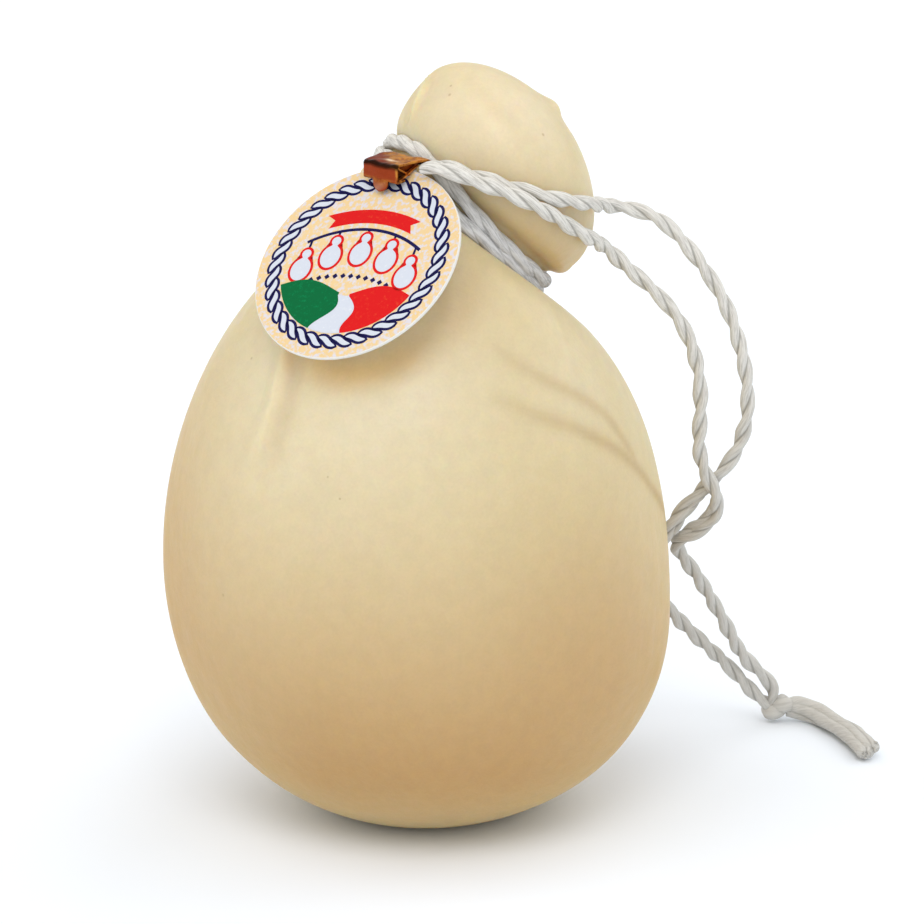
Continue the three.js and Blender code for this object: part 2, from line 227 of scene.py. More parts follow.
def settle(piece: bpy.types.Object, slot: Slot, *nodes: str) -> bpy.types.Object:
    """Fixes a dressed piece to the object.

    Args:
        piece: Finished mesh object.
        slot: Material slot of the record; not used.
        nodes: Solids that it stands for.

    Returns:
        The same piece.
    """
    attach(piece, ROOT)
    if nodes:
        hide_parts(*nodes)
    solids = ", ".join(nodes) or "no solid"
    LOG.info("%s: %d faces, for %s", piece.name, len(piece.data.polygons), solids)
    return piece


class Graph:
    """Adds and links the nodes of one tree."""

    def __init__(self, tree: bpy.types.NodeTree) -> None:
        """Takes the tree to work in."""
        self.tree = tree

    def feed(self, socket: Socket, value: Any) -> None:
        """Links a socket into an input, or sets the input's own value."""
        if isinstance(value, bpy.types.NodeSocket):
            self.tree.links.new(value, socket)
        else:
            socket.default_value = value

    def fill(self, node: bpy.types.Node, inputs: dict[Any, Any]) -> None:
        """Feeds several inputs of a node, by name or number."""
        for key, value in inputs.items():
            self.feed(node.inputs[key], value)

    def add(self, kind: str, inputs: dict[Any, Any] | None = None, **settings: Any) -> bpy.types.Node:
        """New node.

        Args:
            kind: Type of the node.
            inputs: Input name or number to a socket or a value.
            settings: The node's own properties.

        Returns:
            The node.
        """
        node = self.tree.nodes.new(kind)
        for key, value in settings.items():
            setattr(node, key, value)
        self.fill(node, inputs or {})
        return node

    def place(self) -> Socket:
        """Place on the piece, in the object's frame."""
        return self.add("ShaderNodeTexCoord").outputs["Object"]

    def kept(self, name: str, output: str = "Fac") -> Socket:
        """Value kept on the mesh's points under a name."""
        return self.add("ShaderNodeAttribute", attribute_name=name).outputs[output]

    def math(self, operation: str, first: Any, second: Any = 0.0) -> Socket:
        """Result of one sum on two numbers."""
        return self.add("ShaderNodeMath", {0: first, 1: second}, operation=operation).outputs[0]

    def vector(self, operation: str, first: Any, second: Any = (0.0, 0.0, 0.0)) -> bpy.types.Node:
        """Node for one sum on two vectors."""
        return self.add("ShaderNodeVectorMath", {0: first, 1: second}, operation=operation)

    def scaled(self, vector: Any, factor: Any) -> Socket:
        """Vector times a number."""
        node = self.add("ShaderNodeVectorMath", {0: vector, "Scale": factor}, operation="SCALE")
        return node.outputs["Vector"]

    def combine(self, x: Any, y: Any, z: Any) -> Socket:
        """Vector of three numbers."""
        return self.add("ShaderNodeCombineXYZ", {0: x, 1: y, 2: z}).outputs[0]

    def noise(self, vector: Any, scale: float, detail: float = 2.0, rough: float = 0.5) -> Socket:
        """Noise between about 0.2 and 0.8 at a place."""
        inputs = {"Vector": vector, "Scale": scale, "Detail": detail, "Roughness": rough}
        return self.add("ShaderNodeTexNoise", inputs).outputs[0]

    def rise(self, value: Any, low: float, high: float, bottom: float = 0.0, top: float = 1.0) -> Socket:
        """Smooth rise from bottom to top as a value goes from low to high."""
        inputs = {0: value, 1: low, 2: high, 3: bottom, 4: top}
        return self.add("ShaderNodeMapRange", inputs, interpolation_type="SMOOTHSTEP").outputs[0]

    def blend(self, factor: Any, first: Any, second: Any, kind: str = "MIX") -> Socket:
        """Mix of two colours."""
        inputs = {0: factor, 6: first, 7: second}
        return self.add("ShaderNodeMix", inputs, data_type="RGBA", blend_type=kind).outputs[2]


class Recipe:
    """Geometry Nodes tree with named inputs, which ends in one plain mesh."""

    def __init__(self, name: str, numbers: Sequence[str]) -> None:
        """Opens the tree.

        Args:
            name: Name of the tree.
            numbers: Names of its number inputs.
        """
        self.tree = bpy.data.node_groups.new(name, "GeometryNodeTree")
        self.graph = Graph(self.tree)
        face = self.tree.interface
        face.new_socket("Geometry", in_out="OUTPUT", socket_type=Field.GEOMETRY.value)
        face.new_socket("Geometry", in_out="INPUT", socket_type=Field.GEOMETRY.value)
        self.ids = {
            label: face.new_socket(label, in_out="INPUT", socket_type=Field.NUMBER.value).identifier
            for label in numbers
        }
        material = face.new_socket("Material", in_out="INPUT", socket_type=Field.MATERIAL.value)
        self.ids["Material"] = material.identifier
        self.source = self.graph.add("NodeGroupInput")

    def __getitem__(self, label: str) -> Socket:
        """Socket of a named input."""
        return self.source.outputs[label]

    def close(self, geometry: Socket) -> None:
        """Ends the tree with plain geometry in the wanted material."""
        real = self.graph.add("GeometryNodeRealizeInstances", {"Geometry": geometry}).outputs[0]
        inputs = {"Geometry": real, "Material": self["Material"]}
        dressed = self.graph.add("GeometryNodeSetMaterial", inputs).outputs[0]
        self.graph.add("NodeGroupOutput", {0: dressed})

    def make(
        self, host: bpy.types.Object, material: bpy.types.Material, numbers: dict[str, float]
    ) -> bpy.types.Object:
        """Runs the tree on an object and keeps the result as its mesh.

        Args:
            host: Object whose mesh is the tree's input.
            material: Finish of the result.
            numbers: Value of each number input.

        Returns:
            The same object with a plain mesh and no modifier.
        """
        modifier = host.modifiers.new(self.tree.name, "NODES")
        modifier.node_group = self.tree
        for label, value in {**numbers, "Material": material}.items():
            modifier[self.ids[label]] = value
        return made_plain(host)


def new_material(name: str) -> tuple[bpy.types.Material, Graph, bpy.types.Node]:
    """Empty node material.

    Args:
        name: Name of the material.

    Returns:
        The material, its graph and its main shader.
    """
    material = bpy.data.materials.new(name)
    material.use_nodes = True
    shader = material.node_tree.nodes["Principled BSDF"]
    return material, Graph(material.node_tree), shader


def bump(graph: Graph, shader: bpy.types.Node, height: Socket, depth: float) -> None:
    """Raises a shader's surface by a height field, whose full range is a depth in millimetres."""
    inputs = {"Height": height, "Strength": 1.0, "Distance": depth * MM}
    graph.feed(shader.inputs["Normal"], graph.add("ShaderNodeBump", inputs).outputs["Normal"])


@dataclass(frozen=True)
class RindFinish:
    """Smooth waxy rind: cream, with painted shade that makes it darker and warmer toward the underside,
    at its sides and in the folds at the tie, painted shadows and painted highlights.
    """

    cream: Rgba = linear(212, 195, 152)
    # Pale tone of small scuffs and of painted highlights.
    pale: Rgba = linear(219, 207, 177)
    # Painted shade: a darker, warmer tone where shade falls low down, at the sides, under the head, in
    # the groove and in fold grooves.
    warm_shade: Rgba = linear(185, 145, 85)
    # Painted shadow of the twine's free strands on the right shoulder.
    mark: Rgba = linear(176, 143, 90)
    # Painted shadow under the tag's lower edge, warm and lighter than the plain shade.
    tag_shadow: Rgba = linear(228, 194, 132)
    speck: Rgba = linear(150, 118, 74)
    roughness: float = 0.37
    rough_swing: float = 0.16
    translucency: float = 0.8
    depth: Triple = (12.0, 6.5, 2.4)
    refraction: float = 1.45
    gloss_turn: Span = (0.3, 0.85)
    gloss: Span = (0.72, 0.04)
    cloud_scale: float = 26.0
    brush_scale: Triple = (420.0, 420.0, 14.0)
    brush_tone: Span = (0.975, 1.0)
    grain_scale: float = 1400.0
    grain_tone: Span = (0.98, 1.015)
    mottle_scale: float = 240.0
    mottle_tone: Span = (0.976, 1.02)
    dent_scale: float = 120.0
    pull_scale: Triple = (75.0, 75.0, 11.0)
    grain_relief: float = 0.14
    relief: float = 0.4
    specks: tuple[Triple, ...] = (
        (7.4, -11.1, 202.9),
        (7.1, -13.5, 200.9),
        (17.3, -21.8, 196.9),
        (31.4, -19.6, 191.5),
        (-45.1, -29.6, 133.9),
        (-56.2, -39.3, 95.7),
        (-52.1, -47.6, 74.4),
        (-21.1, -62.3, 104.6),
        (-24.2, -59.6, 109.7),
    )
    speck_radius: float = 0.55
    speck_variety: float = 0.35
    speck_share: float = 0.45

    def material(self) -> bpy.types.Material:
        """Node material of the rind."""
        material, graph, shader = new_material("waxy_rind")
        place = graph.place()
        cloud = graph.noise(place, self.cloud_scale, 4.0, 0.55)
        grain = graph.noise(place, self.grain_scale, 3.0, 0.6)
        rough = graph.math("MULTIPLY_ADD", cloud, self.rough_swing)
        rough.node.inputs[2].default_value = self.roughness - self.rough_swing / 2
        facing = graph.add("ShaderNodeLayerWeight", {"Blend": 0.5}).outputs["Facing"]
        graph.fill(shader, {
            "Base Color": self.tone(graph, place, cloud, grain),
            "Roughness": rough,
            "Subsurface Weight": self.translucency,
            "Subsurface Radius": tuple(value / self.depth[0] for value in self.depth),
            "Subsurface Scale": self.depth[0] * MM,
            "IOR": self.refraction,
            "Specular IOR Level": graph.rise(facing, *self.gloss_turn, *self.gloss),
        })
        pulled = graph.noise(graph.vector("MULTIPLY", place, self.pull_scale).outputs[0], 1.0, 3.0, 0.55)
        dents = graph.math("ADD", graph.noise(place, self.dent_scale, 3.0, 0.5), pulled)
        height = graph.math("ADD", dents, graph.math("MULTIPLY", grain, self.grain_relief))
        bump(graph, shader, height, self.relief)
        return material

    def tone(self, graph: Graph, place: Socket, cloud: Socket, grain: Socket) -> Socket:
        """Colour of the rind.

        Args:
            graph: Graph of the rind's material.
            place: Place on the rind.
            cloud: Broad noise there.
            grain: Fine noise there.

        Returns:
            The colour.
        """
        # Pale scuffs and painted highlights, patchy with the broad noise.
        scuff_and_highlight = graph.math("MULTIPLY", graph.kept("scuff_and_highlight"), graph.rise(cloud, 0.3, 0.65, 0.6, 1.0))
        tone = graph.blend(scuff_and_highlight, self.cream, self.pale)
        # Painted shadow under the tag.
        tone = graph.blend(graph.kept("tag_shadow"), tone, self.tag_shadow)
        drawn_out = graph.vector("MULTIPLY", place, self.brush_scale).outputs[0]
        brushed = graph.rise(graph.noise(drawn_out, 1.0, 3.0, 0.6), 0.25, 0.75, *self.brush_tone)
        # Painted shade, broken up by faint brush streaks.
        tone = graph.blend(graph.math("MULTIPLY", graph.kept("painted_shade"), brushed), tone, self.warm_shade)
        # Painted shadows of the twine's free strands.
        tone = graph.blend(graph.kept("twine_shadow"), tone, self.mark)
        fine = graph.rise(grain, 0.3, 0.7, *self.grain_tone)
        mottle = graph.noise(place, self.mottle_scale, 3.0, 0.6)
        fine = graph.math("MULTIPLY", fine, graph.rise(mottle, 0.3, 0.7, *self.mottle_tone))
        tone = graph.blend(1.0, tone, graph.combine(fine, fine, fine), "MULTIPLY")
        return graph.blend(self.speck_field(graph, place), tone, self.speck)

    def speck_field(self, graph: Graph, place: Socket) -> Socket:
        """Field that rises inside the rind's small dark pits."""
        total: Any = 0.0
        for index, speck in enumerate(self.specks):
            centre = tuple(value * MM for value in speck)
            away = graph.vector("DISTANCE", place, centre).outputs["Value"]
            radius = self.speck_radius * MM * (1.0 + self.speck_variety * math.sin(2.3 * index))
            pit = graph.rise(away, radius, radius * 0.3, 0.0, self.speck_share)
            total = graph.math("MAXIMUM", total, pit)
        return total


@dataclass(frozen=True)
class TwineFinish:
    """White cotton twine: long fibres, with painted shade in the valleys between the plies and where it
    lies in the groove under the head.
    """

    light: Rgba = linear(226, 223, 216)
    shade: Rgba = linear(186, 182, 174)
    # Painted shade in the valleys between the plies.
    valley_shade: Rgba = linear(138, 134, 126)
    valley_shade_share: float = 0.6
    # Painted shade: lit and shaded greys of the twine where it lies in the groove under the head.
    groove_shade: Rgba = linear(216, 215, 214)
    groove_shade_dark: Rgba = linear(170, 169, 168)
    # Grey tone that the twine turns towards, more so towards the bottom.
    worn: Rgba = linear(188, 186, 180)
    greyer_height: Span = (150.0, 60.0)
    greyer_share: float = 0.6
    groove_centre: Triple = (10.3, 0.0, 165.4)
    groove_reach: Span = (31.8, 30.0)
    groove_side: Triple = (0.72, -0.5, -0.48)
    groove_turn: Span = (-6.0, 14.0)
    seam: Span = (0.1, 0.6)
    roughness: float = 0.85
    specular: float = 0.25
    translucency: float = 0.25
    depth: float = 0.6
    relief: float = 0.14

    def material(self) -> bpy.types.Material:
        """Node material of the twine, whose fibres and plies are kept on its points."""
        material, graph, shader = new_material("cotton_twine")
        fibre, place = graph.kept("fibre", "Vector"), graph.place()
        lit = graph.rise(graph.noise(fibre, 3.2, 4.0, 0.65), 0.3, 0.62)
        height = graph.add("ShaderNodeSeparateXYZ", {0: place}).outputs["Z"]
        # Greyer towards the bottom.
        start, end = (value * MM for value in self.greyer_height)
        greyer_low = graph.rise(height, start, end, 0.0, self.greyer_share)
        tone = graph.blend(greyer_low, graph.blend(lit, self.shade, self.light), self.worn)
        # Painted shade where the twine lies in the groove under the head.
        groove_shade = graph.blend(lit, self.groove_shade_dark, self.groove_shade)
        tone = graph.blend(self.in_groove_shade(graph, place), tone, groove_shade)
        # Painted shade in the valleys where the plies meet.
        mark = graph.kept("ply_mark", "Vector")
        across, _, ply = graph.add("ShaderNodeSeparateXYZ", {0: mark}).outputs
        inward = graph.math("MULTIPLY", graph.math("MULTIPLY", across, ply), -1.0)
        valley_shade = graph.rise(inward, *self.seam, 0.0, self.valley_shade_share)
        graph.fill(shader, {
            "Base Color": graph.blend(valley_shade, tone, self.valley_shade),
            "Roughness": self.roughness,
            "Specular IOR Level": self.specular,
            "Subsurface Weight": self.translucency,
            "Subsurface Radius": (1.0, 1.0, 1.0),
            "Subsurface Scale": self.depth * MM,
        })
        bump(graph, shader, graph.noise(fibre, 5.0, 3.0, 0.6), self.relief)
        return material

    def in_groove_shade(self, graph: Graph, place: Socket) -> Socket:
        """Field that is one where the twine lies deep in the groove, on the side below the head, where
        painted shade greys it.
        """
        away = graph.vector("SUBTRACT", place, tuple(v * MM for v in self.groove_centre)).outputs[0]
        reach = graph.vector("LENGTH", away).outputs["Value"]
        side = graph.vector("DOT_PRODUCT", away, self.groove_side).outputs["Value"]
        near = graph.rise(reach, *(value * MM for value in self.groove_reach))
        below = graph.rise(side, *(value * MM for value in self.groove_turn))
        return graph.math("MULTIPLY", near, below)


@dataclass(frozen=True)
class CardFinish:
    """Coated card with a mottled cream ground."""

    cream: Rgba = linear(226, 196, 144)
    lilac: Rgba = linear(212, 206, 211)
    mottle_scale: float = 800.0
    fibre_scale: float = 2600.0
    roughness: Span = (0.5, 0.62)
    specular: float = 0.2
    relief: float = 0.03

    def material(self) -> bpy.types.Material:
        """Node material of the card's faces."""
        material, graph, shader = new_material("mottled_card")
        place = graph.place()
        mottle = graph.noise(place, self.mottle_scale, 2.0, 0.6)
        graph.fill(shader, {
            "Base Color": graph.blend(graph.rise(mottle, 0.46, 0.62), self.cream, self.lilac),
            "Roughness": graph.rise(mottle, 0.2, 0.8, *self.roughness),
            "Specular IOR Level": self.specular,
        })
        bump(graph, shader, graph.noise(place, self.fibre_scale, 2.0), self.relief)
        return material


@dataclass(frozen=True)
class InkFinish:
    """Flat printing ink with slight unevenness where the press left less of it."""

    name: str
    full: Rgba
    thin: Rgba
    roughness: float = 0.45
    thin_roughness: float = 0.6
    patch_scale: float = 900.0
    specular: float = 0.06

    def material(self) -> bpy.types.Material:
        """Node material of the ink."""
        material, graph, shader = new_material(self.name)
        patch = graph.noise(graph.place(), self.patch_scale, 4.0, 0.7)
        graph.fill(shader, {
            "Base Color": graph.blend(graph.rise(patch, 0.52, 0.75), self.full, self.thin),
            "Roughness": graph.rise(patch, 0.3, 0.7, self.roughness, self.thin_roughness),
            "Specular IOR Level": self.specular,
        })
        return material


@dataclass(frozen=True)
class BrassFinish:
    """Thin brass sheet, tarnished red-brown with worn golden patches, painted dark shade and painted
    glints.
    """

    copper: Rgba = linear(152, 62, 32)
    gold: Rgba = linear(224, 156, 70)
    # Painted shade: near black, along the top front fold and inside the channel.
    painted_dark_tone: Rgba = linear(24, 16, 10)
    # Painted highlight colour of the glints.
    painted_glint_tone: Rgba = linear(240, 222, 190)
    roughness: Span = (0.3, 0.48)
    stain_scale: float = 620.0
    dent_scale: float = 900.0
    relief: float = 0.12

    def material(self) -> bpy.types.Material:
        """Node material of the clip, whose worn places, painted dark shade and painted glints are kept
        on its points.
        """
        material, graph, shader = new_material("tarnished_brass")
        place = graph.place()
        stain = graph.noise(place, self.stain_scale, 4.0, 0.65)
        wear = graph.math("MULTIPLY", graph.kept("bare"), graph.rise(stain, 0.34, 0.6, 0.25, 1.0))
        tone = graph.blend(wear, self.copper, self.gold)
        # Painted dark shade.
        tone = graph.blend(graph.kept("painted_dark"), tone, self.painted_dark_tone)
        # Painted glints, pale and not metallic.
        painted_glint = graph.kept("painted_glint")
        graph.fill(shader, {
            "Base Color": graph.blend(painted_glint, tone, self.painted_glint_tone),
            "Metallic": graph.math("SUBTRACT", 1.0, painted_glint),
            "Roughness": graph.rise(stain, 0.3, 0.75, *self.roughness),
        })
        bump(graph, shader, graph.noise(place, self.dent_scale, 3.0), self.relief)
        return material


@dataclass(frozen=True)
class Fold:
    """Ridge or groove in the rind along a few points, with its height and half-width; also the route of
    a painted shadow, whose height is its strength.
    """

    route: tuple[Triple, ...]
    height: float
    width: float
    span: Span = (0.12, 0.97)
    step: float = 0.5
    fade: float = 0.7
    reach: float = 5.0


@dataclass(frozen=True)
class ShadeZones:
    """Shares of painted shade in parts of the rind, and the millimetres over which each comes or goes.
    """

    low_fade: Span = (16.0, 118.0)
    rest_share: float = 0.25
    rest_rise: Span = (-6.0, 30.0)
    flank_share: float = 0.3
    flank_out: Span = (22.0, 58.0)
    flank_fade: Span = (28.0, 62.0)
    left_share: float = 0.42
    left_out: Span = (40.0, 76.0)
    rim_share: float = 0.3
    rim_out: Span = (55.0, 74.0)
    left_fade: Span = (120.0, 172.0)
    left_turn: Span = (-0.2, 1.0)
    right_share: float = 0.37
    right_out: Span = (5.0, 45.0)
    right_edge_share: float = 0.8
    right_edge: Span = (48.0, 66.0)
    right_fade: Span = (60.0, 120.0)
    right_rise: Span = (10.0, 50.0)
    head_share: float = 0.52
    head_fade: Span = (4.0, 24.0)
    head_rise: Span = (0.0, 4.0)
    head_out: Span = (-10.0, 38.0)
    groove_share: float = 0.85
    groove_width: float = 5.0
    groove_fade: Span = (28.0, 33.0)
    fold_share: float = 0.22


@dataclass
class Cheese:
    """Pear-shaped cheese: body, neck and leaning head in one skin."""

    finish: RindFinish = field(default_factory=RindFinish)
    rest_radius: float = 20.0
    left_reach: float = 71.0
    left_height: float = 72.7
    right_reach: float = 67.4
    right_height: float = 58.0
    lower_fullness: float = 2.13
    left_start: float = 66.8
    left_end: float = 15.4
    left_slope: float = math.radians(75)
    right_start: float = 41.0
    right_end: float = 25.4
    right_slope: float = math.radians(32.3)
    neck_centre: Triple = (10.3, 0.0, 165.4)
    neck_radius: float = 26.2
    neck_lean: float = math.radians(41.9)
    neck_back: float = math.radians(11.3)
    groove_half: float = 4.6
    lip_left: Span = (3.0, 2.0)
    lip_right: Span = (6.5, -3.6)
    head_radius: float = 32.0
    head_widest: float = 16.9
    head_height: float = 37.6
    head_fullness: float = 1.91
    head_skew: float = -1.8
    head_tilt: float = math.radians(14)
    nub_centre: Triple = (34.8, 3.0, 195.2)
    nub_height: float = 1.5
    nub_spread: float = 2.7
    notch_centre: Triple = (37.4, 2.0, 191.0)
    notch_depth: float = 0.7
    notch_spread: float = 1.7
    dip_centre: Triple = (-16.4, -1.5, 178.6)
    dip_depth: float = 1.8
    dip_spread: float = 4.0
    pleat_count: int = 9
    pleat_first: float = math.radians(231)
    pleat_crest: float = 0.6
    pleat_groove: float = 0.4
    pleat_width: float = math.radians(3.4)
    pleat_start: float = 0.2
    pleat_variety: float = 0.45
    pleat_wander: float = 0.12
    pleat_side: float = 1.7
    folds: tuple[Fold, ...] = (
        Fold(
            ((2.6, 3.1, 203.9), (0.7, -3.6, 201.0), (-1.4, -6.7, 197.3), (-3.2, -7.9, 193.5)),
            1.9, 1.15, (0.0, 0.97),
        ),
        Fold(
            ((1.0, 3.3, 203.0), (-1.2, -3.0, 199.9), (-3.3, -5.9, 196.2), (-5.1, -6.9, 192.6)),
            -1.4, 1.25, (0.0, 0.97),
        ),
        Fold(
            ((-35.6, -36.5, 139.1), (-37.8, -42.7, 128.5), (-40.2, -45.2, 121.1), (-45.2, -46.4, 109.9)),
            1.3, 2.7, (0.25, 0.98),
        ),
        Fold(
            ((-31.9, -40.1, 139.1), (-34.3, -46.5, 126.8), (-36.6, -49.1, 118.9), (-41.1, -52.1, 104.1)),
            -0.9, 3.3, (0.25, 0.98),
        ),
    )
    # Painted shadows of the twine's two free strands on the right shoulder, with their strength and
    # half-width.
    twine_shadows: tuple[Fold, ...] = (
        Fold(
            (
                (16.5, -47.5, 142.5), (25.3, -47.1, 136.0), (34.4, -43.8, 130.2), (43.7, -37.3, 123.7),
                (48.1, -33.6, 119.0), (51.9, -30.8, 113.1), (55.5, -27.7, 106.2),
            ),
            0.42, 1.8, (0.03, 0.6),
        ),
        Fold(
            (
                (18.5, -53.7, 129.2), (29.6, -50.5, 123.6), (41.5, -43.3, 117.4), (52.4, -32.8, 108.4),
                (56.9, -26.6, 102.6), (61.0, -19.5, 95.5), (65.2, -5.9, 85.3),
            ),
            0.6, 1.9, (0.03, 0.6),
        ),
    )
    # Painted shadow under the tag's lower edge, in its own warm tone.
    tag_shadow: Fold = Fold(
        ((-33.0, -41.0, 137.0), (-22.5, -49.0, 134.9), (-13.4, -51.9, 135.6), (-4.4, -51.8, 138.8)),
        0.8, 5.0, (0.15, 0.85),
    )
    # Painted shadow under the tag's right edge, in the painted shade's tone.
    shaded: Fold = Fold(
        ((-7.0, -52.0, 137.5), (4.1, -49.0, 144.5), (9.7, -44.1, 151.3), (14.0, -36.0, 160.5)),
        0.4, 5.5, (0.15, 0.9),
    )
    # Small pale scuffs and broad pale patches; the broad ones on the front are painted highlight.
    scuffs_and_highlights: tuple[tuple[Triple, float, float], ...] = (
        ((-22, -50, 122), 40, 0.95),
        ((-5, -56, 128), 18, 0.95),
        ((16, -20, 194), 28, 0.75),
        ((26.7, -20.2, 195.0), 1.6, 0.9),
        ((30.8, -22.2, 189.2), 3.0, 0.8),
        ((23.3, -26.0, 189.8), 1.5, 0.9),
        ((-21.1, -62.4, 104.3), 0.9, 1.0),
        ((40, -36, 128), 24, 0.5),
        ((-30, 48, 118), 46, 0.8),
        ((50, 30, 105), 34, 0.6),
    )
    # Painted highlight on the crests of the ridges.
    crest_highlight: float = 0.9
    # Where painted shade darkens and warms the rind.
    warm_shade: ShadeZones = ShadeZones()
    unevenness: float = 0.3
    round_count: int = 352
    lower_rings: int = 72
    upper_rings: int = 84
    lip_rings: int = 8
    groove_rings: int = 12
    flare_rings: int = 26
    flare_steps: int = 400
    dome_rings: int = 50
    soft_before: int = 12
    soft_after: int = 10
    soft_rounds: int = 14

    def axes(self, lean: np.ndarray | float, back: np.ndarray | float) -> tuple[np.ndarray, ...]:
        """Directions across, in depth and out of rings that lean right and back.

        Args:
            lean: Lean to the right, for one ring or many.
            back: Lean to the back.

        Returns:
            The three directions, one row a ring.
        """
        lean, back = np.broadcast_arrays(np.asarray(lean, float), np.asarray(back, float))
        level = np.zeros_like(lean)
        across = np.stack([np.cos(lean), level, -np.sin(lean)], axis=-1)
        tip, rise = np.sin(back), np.cos(back)
        depth = np.stack([-tip * np.sin(lean), rise, -tip * np.cos(lean)], axis=-1)
        facing = np.stack([rise * np.sin(lean), tip, rise * np.cos(lean)], axis=-1)
        return across, depth, facing

    def lower_side(self, side: int, reach: float, height: float, part: np.ndarray) -> np.ndarray:
        """One side of the lower half, from the resting spot to its widest point."""
        fullness = self.lower_fullness
        start = math.asin((self.rest_radius / reach) ** (fullness / 2))
        deep = height / (1 - (self.rest_radius / reach) ** fullness) ** (1 / fullness)
        angle = start + (math.pi / 2 - start) * part
        across = side * reach * np.sin(angle) ** (2 / fullness)
        rise = height - deep * np.clip(np.cos(angle), 0, None) ** (2 / fullness)
        return np.stack([across, rise], axis=-1)

    def upper_side(self, side: int, part: np.ndarray) -> np.ndarray:
        """One side of the upper half, from its widest point to the lip at the neck."""
        left = side < 0
        reach = self.left_reach if left else self.right_reach
        height = self.left_height if left else self.right_height
        start = self.left_start if left else self.right_start
        end = self.left_end if left else self.right_end
        slope = self.left_slope if left else self.right_slope
        out, drop = self.lip_left if left else self.lip_right
        across = np.array([math.cos(self.neck_lean), -math.sin(self.neck_lean)])
        along = np.array([math.sin(self.neck_lean), math.cos(self.neck_lean)])
        neck = np.array([self.neck_centre[0], self.neck_centre[2]])
        lip = neck + across * side * (self.neck_radius + out) - along * (self.groove_half + drop)
        widest = np.array([side * reach, height])
        arrive = np.array([-side * math.cos(slope), math.sin(slope)])
        pulls = (widest, widest + (0, start), lip - end * arrive, lip)
        weights = (
            (1 - part) ** 3, 3 * (1 - part) ** 2 * part, 3 * (1 - part) * part**2, part**3,
        )
        return sum(weight[:, None] * pull for weight, pull in zip(weights, pulls))

    def rings_between(self, left: np.ndarray, right: np.ndarray, back: np.ndarray) -> np.ndarray:
        """Rings through two sides of the outline.

        Args:
            left, right: Outline points as x and z, one row a ring.
            back: Lean to the back of each ring.

        Returns:
            Centre, half-width and half-depth of each ring.
        """
        half, middle = (right - left) / 2, (left + right) / 2
        across, depth, _ = self.axes(np.arctan2(-half[:, 1], half[:, 0]), back)
        size = np.linalg.norm(half, axis=1)[:, None]
        centre = np.stack([middle[:, 0], np.zeros(len(middle)), middle[:, 1]], axis=-1)
        return np.stack([centre, across * size, depth * size], axis=1)

    def waist(self, offset: np.ndarray) -> np.ndarray:
        """Radius of the groove and of the head's underside at an offset along the neck's axis."""
        span = self.head_widest - self.groove_half
        part = np.clip((np.asarray(offset, float) - self.groove_half) / span, 0, 1)
        return self.neck_radius + (self.head_radius - self.neck_radius) * np.sqrt(1 - (1 - part) ** 2)

    def rings(self) -> tuple[np.ndarray, np.ndarray, np.ndarray]:
        """All rings of the loft.

        Returns:
            The rings, how strongly the pleats mark each, and the head's pole.
        """
        low = np.linspace(0, 1, self.lower_rings)
        high = np.linspace(0, 1, self.upper_rings + 1)[1:]
        body = self.rings_between(
            self.lower_side(-1, self.left_reach, self.left_height, low),
            self.lower_side(1, self.right_reach, self.right_height, low),
            np.zeros_like(low),
        )
        shoulder = self.rings_between(
            self.upper_side(-1, high), self.upper_side(1, high), self.neck_back * smoothstep(high, 0, 1)
        )
        across, depth, facing = self.axes(self.neck_lean, self.neck_back)
        offsets = np.linspace(-self.groove_half, self.groove_half, self.groove_rings)
        sizes = across * self.neck_radius, depth * self.neck_radius
        groove = np.stack([np.stack([np.array(self.neck_centre) + facing * o, *sizes]) for o in offsets])
        mixes = np.linspace(0, 1, self.lip_rings + 2)[1:-1, None, None]
        lip = shoulder[-1] * (1 - mixes) + groove[0] * mixes
        flare, centre = self.flare(groove[-1][0])
        dome, pole = self.dome(centre)
        marked = np.clip((high - self.pleat_start) / (1 - self.pleat_start), 0, 1)
        pleats = np.r_[np.zeros(len(body)), np.sin(math.pi * marked) ** 2]
        rings = np.concatenate([body, shoulder, lip, groove, flare, dome])
        return rings, np.r_[pleats, np.zeros(len(rings) - len(pleats))], pole

    def flare(self, start: np.ndarray) -> tuple[np.ndarray, np.ndarray]:
        """Rings from the groove out to the head's widest ring, and that ring's centre."""
        angle = np.linspace(0, math.pi / 2, self.flare_rings + 1)[1:]
        part = 1 - np.cos(angle)
        fine = np.linspace(0, 1, self.flare_steps + 1)
        across, _, facing = self.axes(self.neck_lean + self.head_tilt * fine, self.neck_back)
        speed = facing * (self.head_widest - self.groove_half) + across * self.head_skew
        legs = (speed[1:] + speed[:-1]) / 2 / self.flare_steps
        travel = np.vstack([np.zeros(3), np.cumsum(legs, axis=0)])
        centre = start + np.stack([np.interp(part, fine, travel[:, axis]) for axis in range(3)], axis=1)
        radius = (self.neck_radius + (self.head_radius - self.neck_radius) * np.sin(angle))[:, None]
        across, depth, _ = self.axes(self.neck_lean + self.head_tilt * part, self.neck_back)
        return np.stack([centre, across * radius, depth * radius], axis=1), centre[-1]

    def dome(self, centre: np.ndarray) -> tuple[np.ndarray, np.ndarray]:
        """Rings of the head's dome, and its pole."""
        angle = np.linspace(0, math.pi / 2, self.dome_rings + 2)[1:-1, None]
        across, depth, facing = self.axes(self.neck_lean + self.head_tilt, self.neck_back)
        height = self.head_height - self.head_widest
        radius = self.head_radius * np.cos(angle) ** (2 / self.head_fullness)
        centres = centre + facing * height * np.sin(angle) ** (2 / self.head_fullness)
        return np.stack([centres, across * radius, depth * radius], axis=1), centre + facing * height

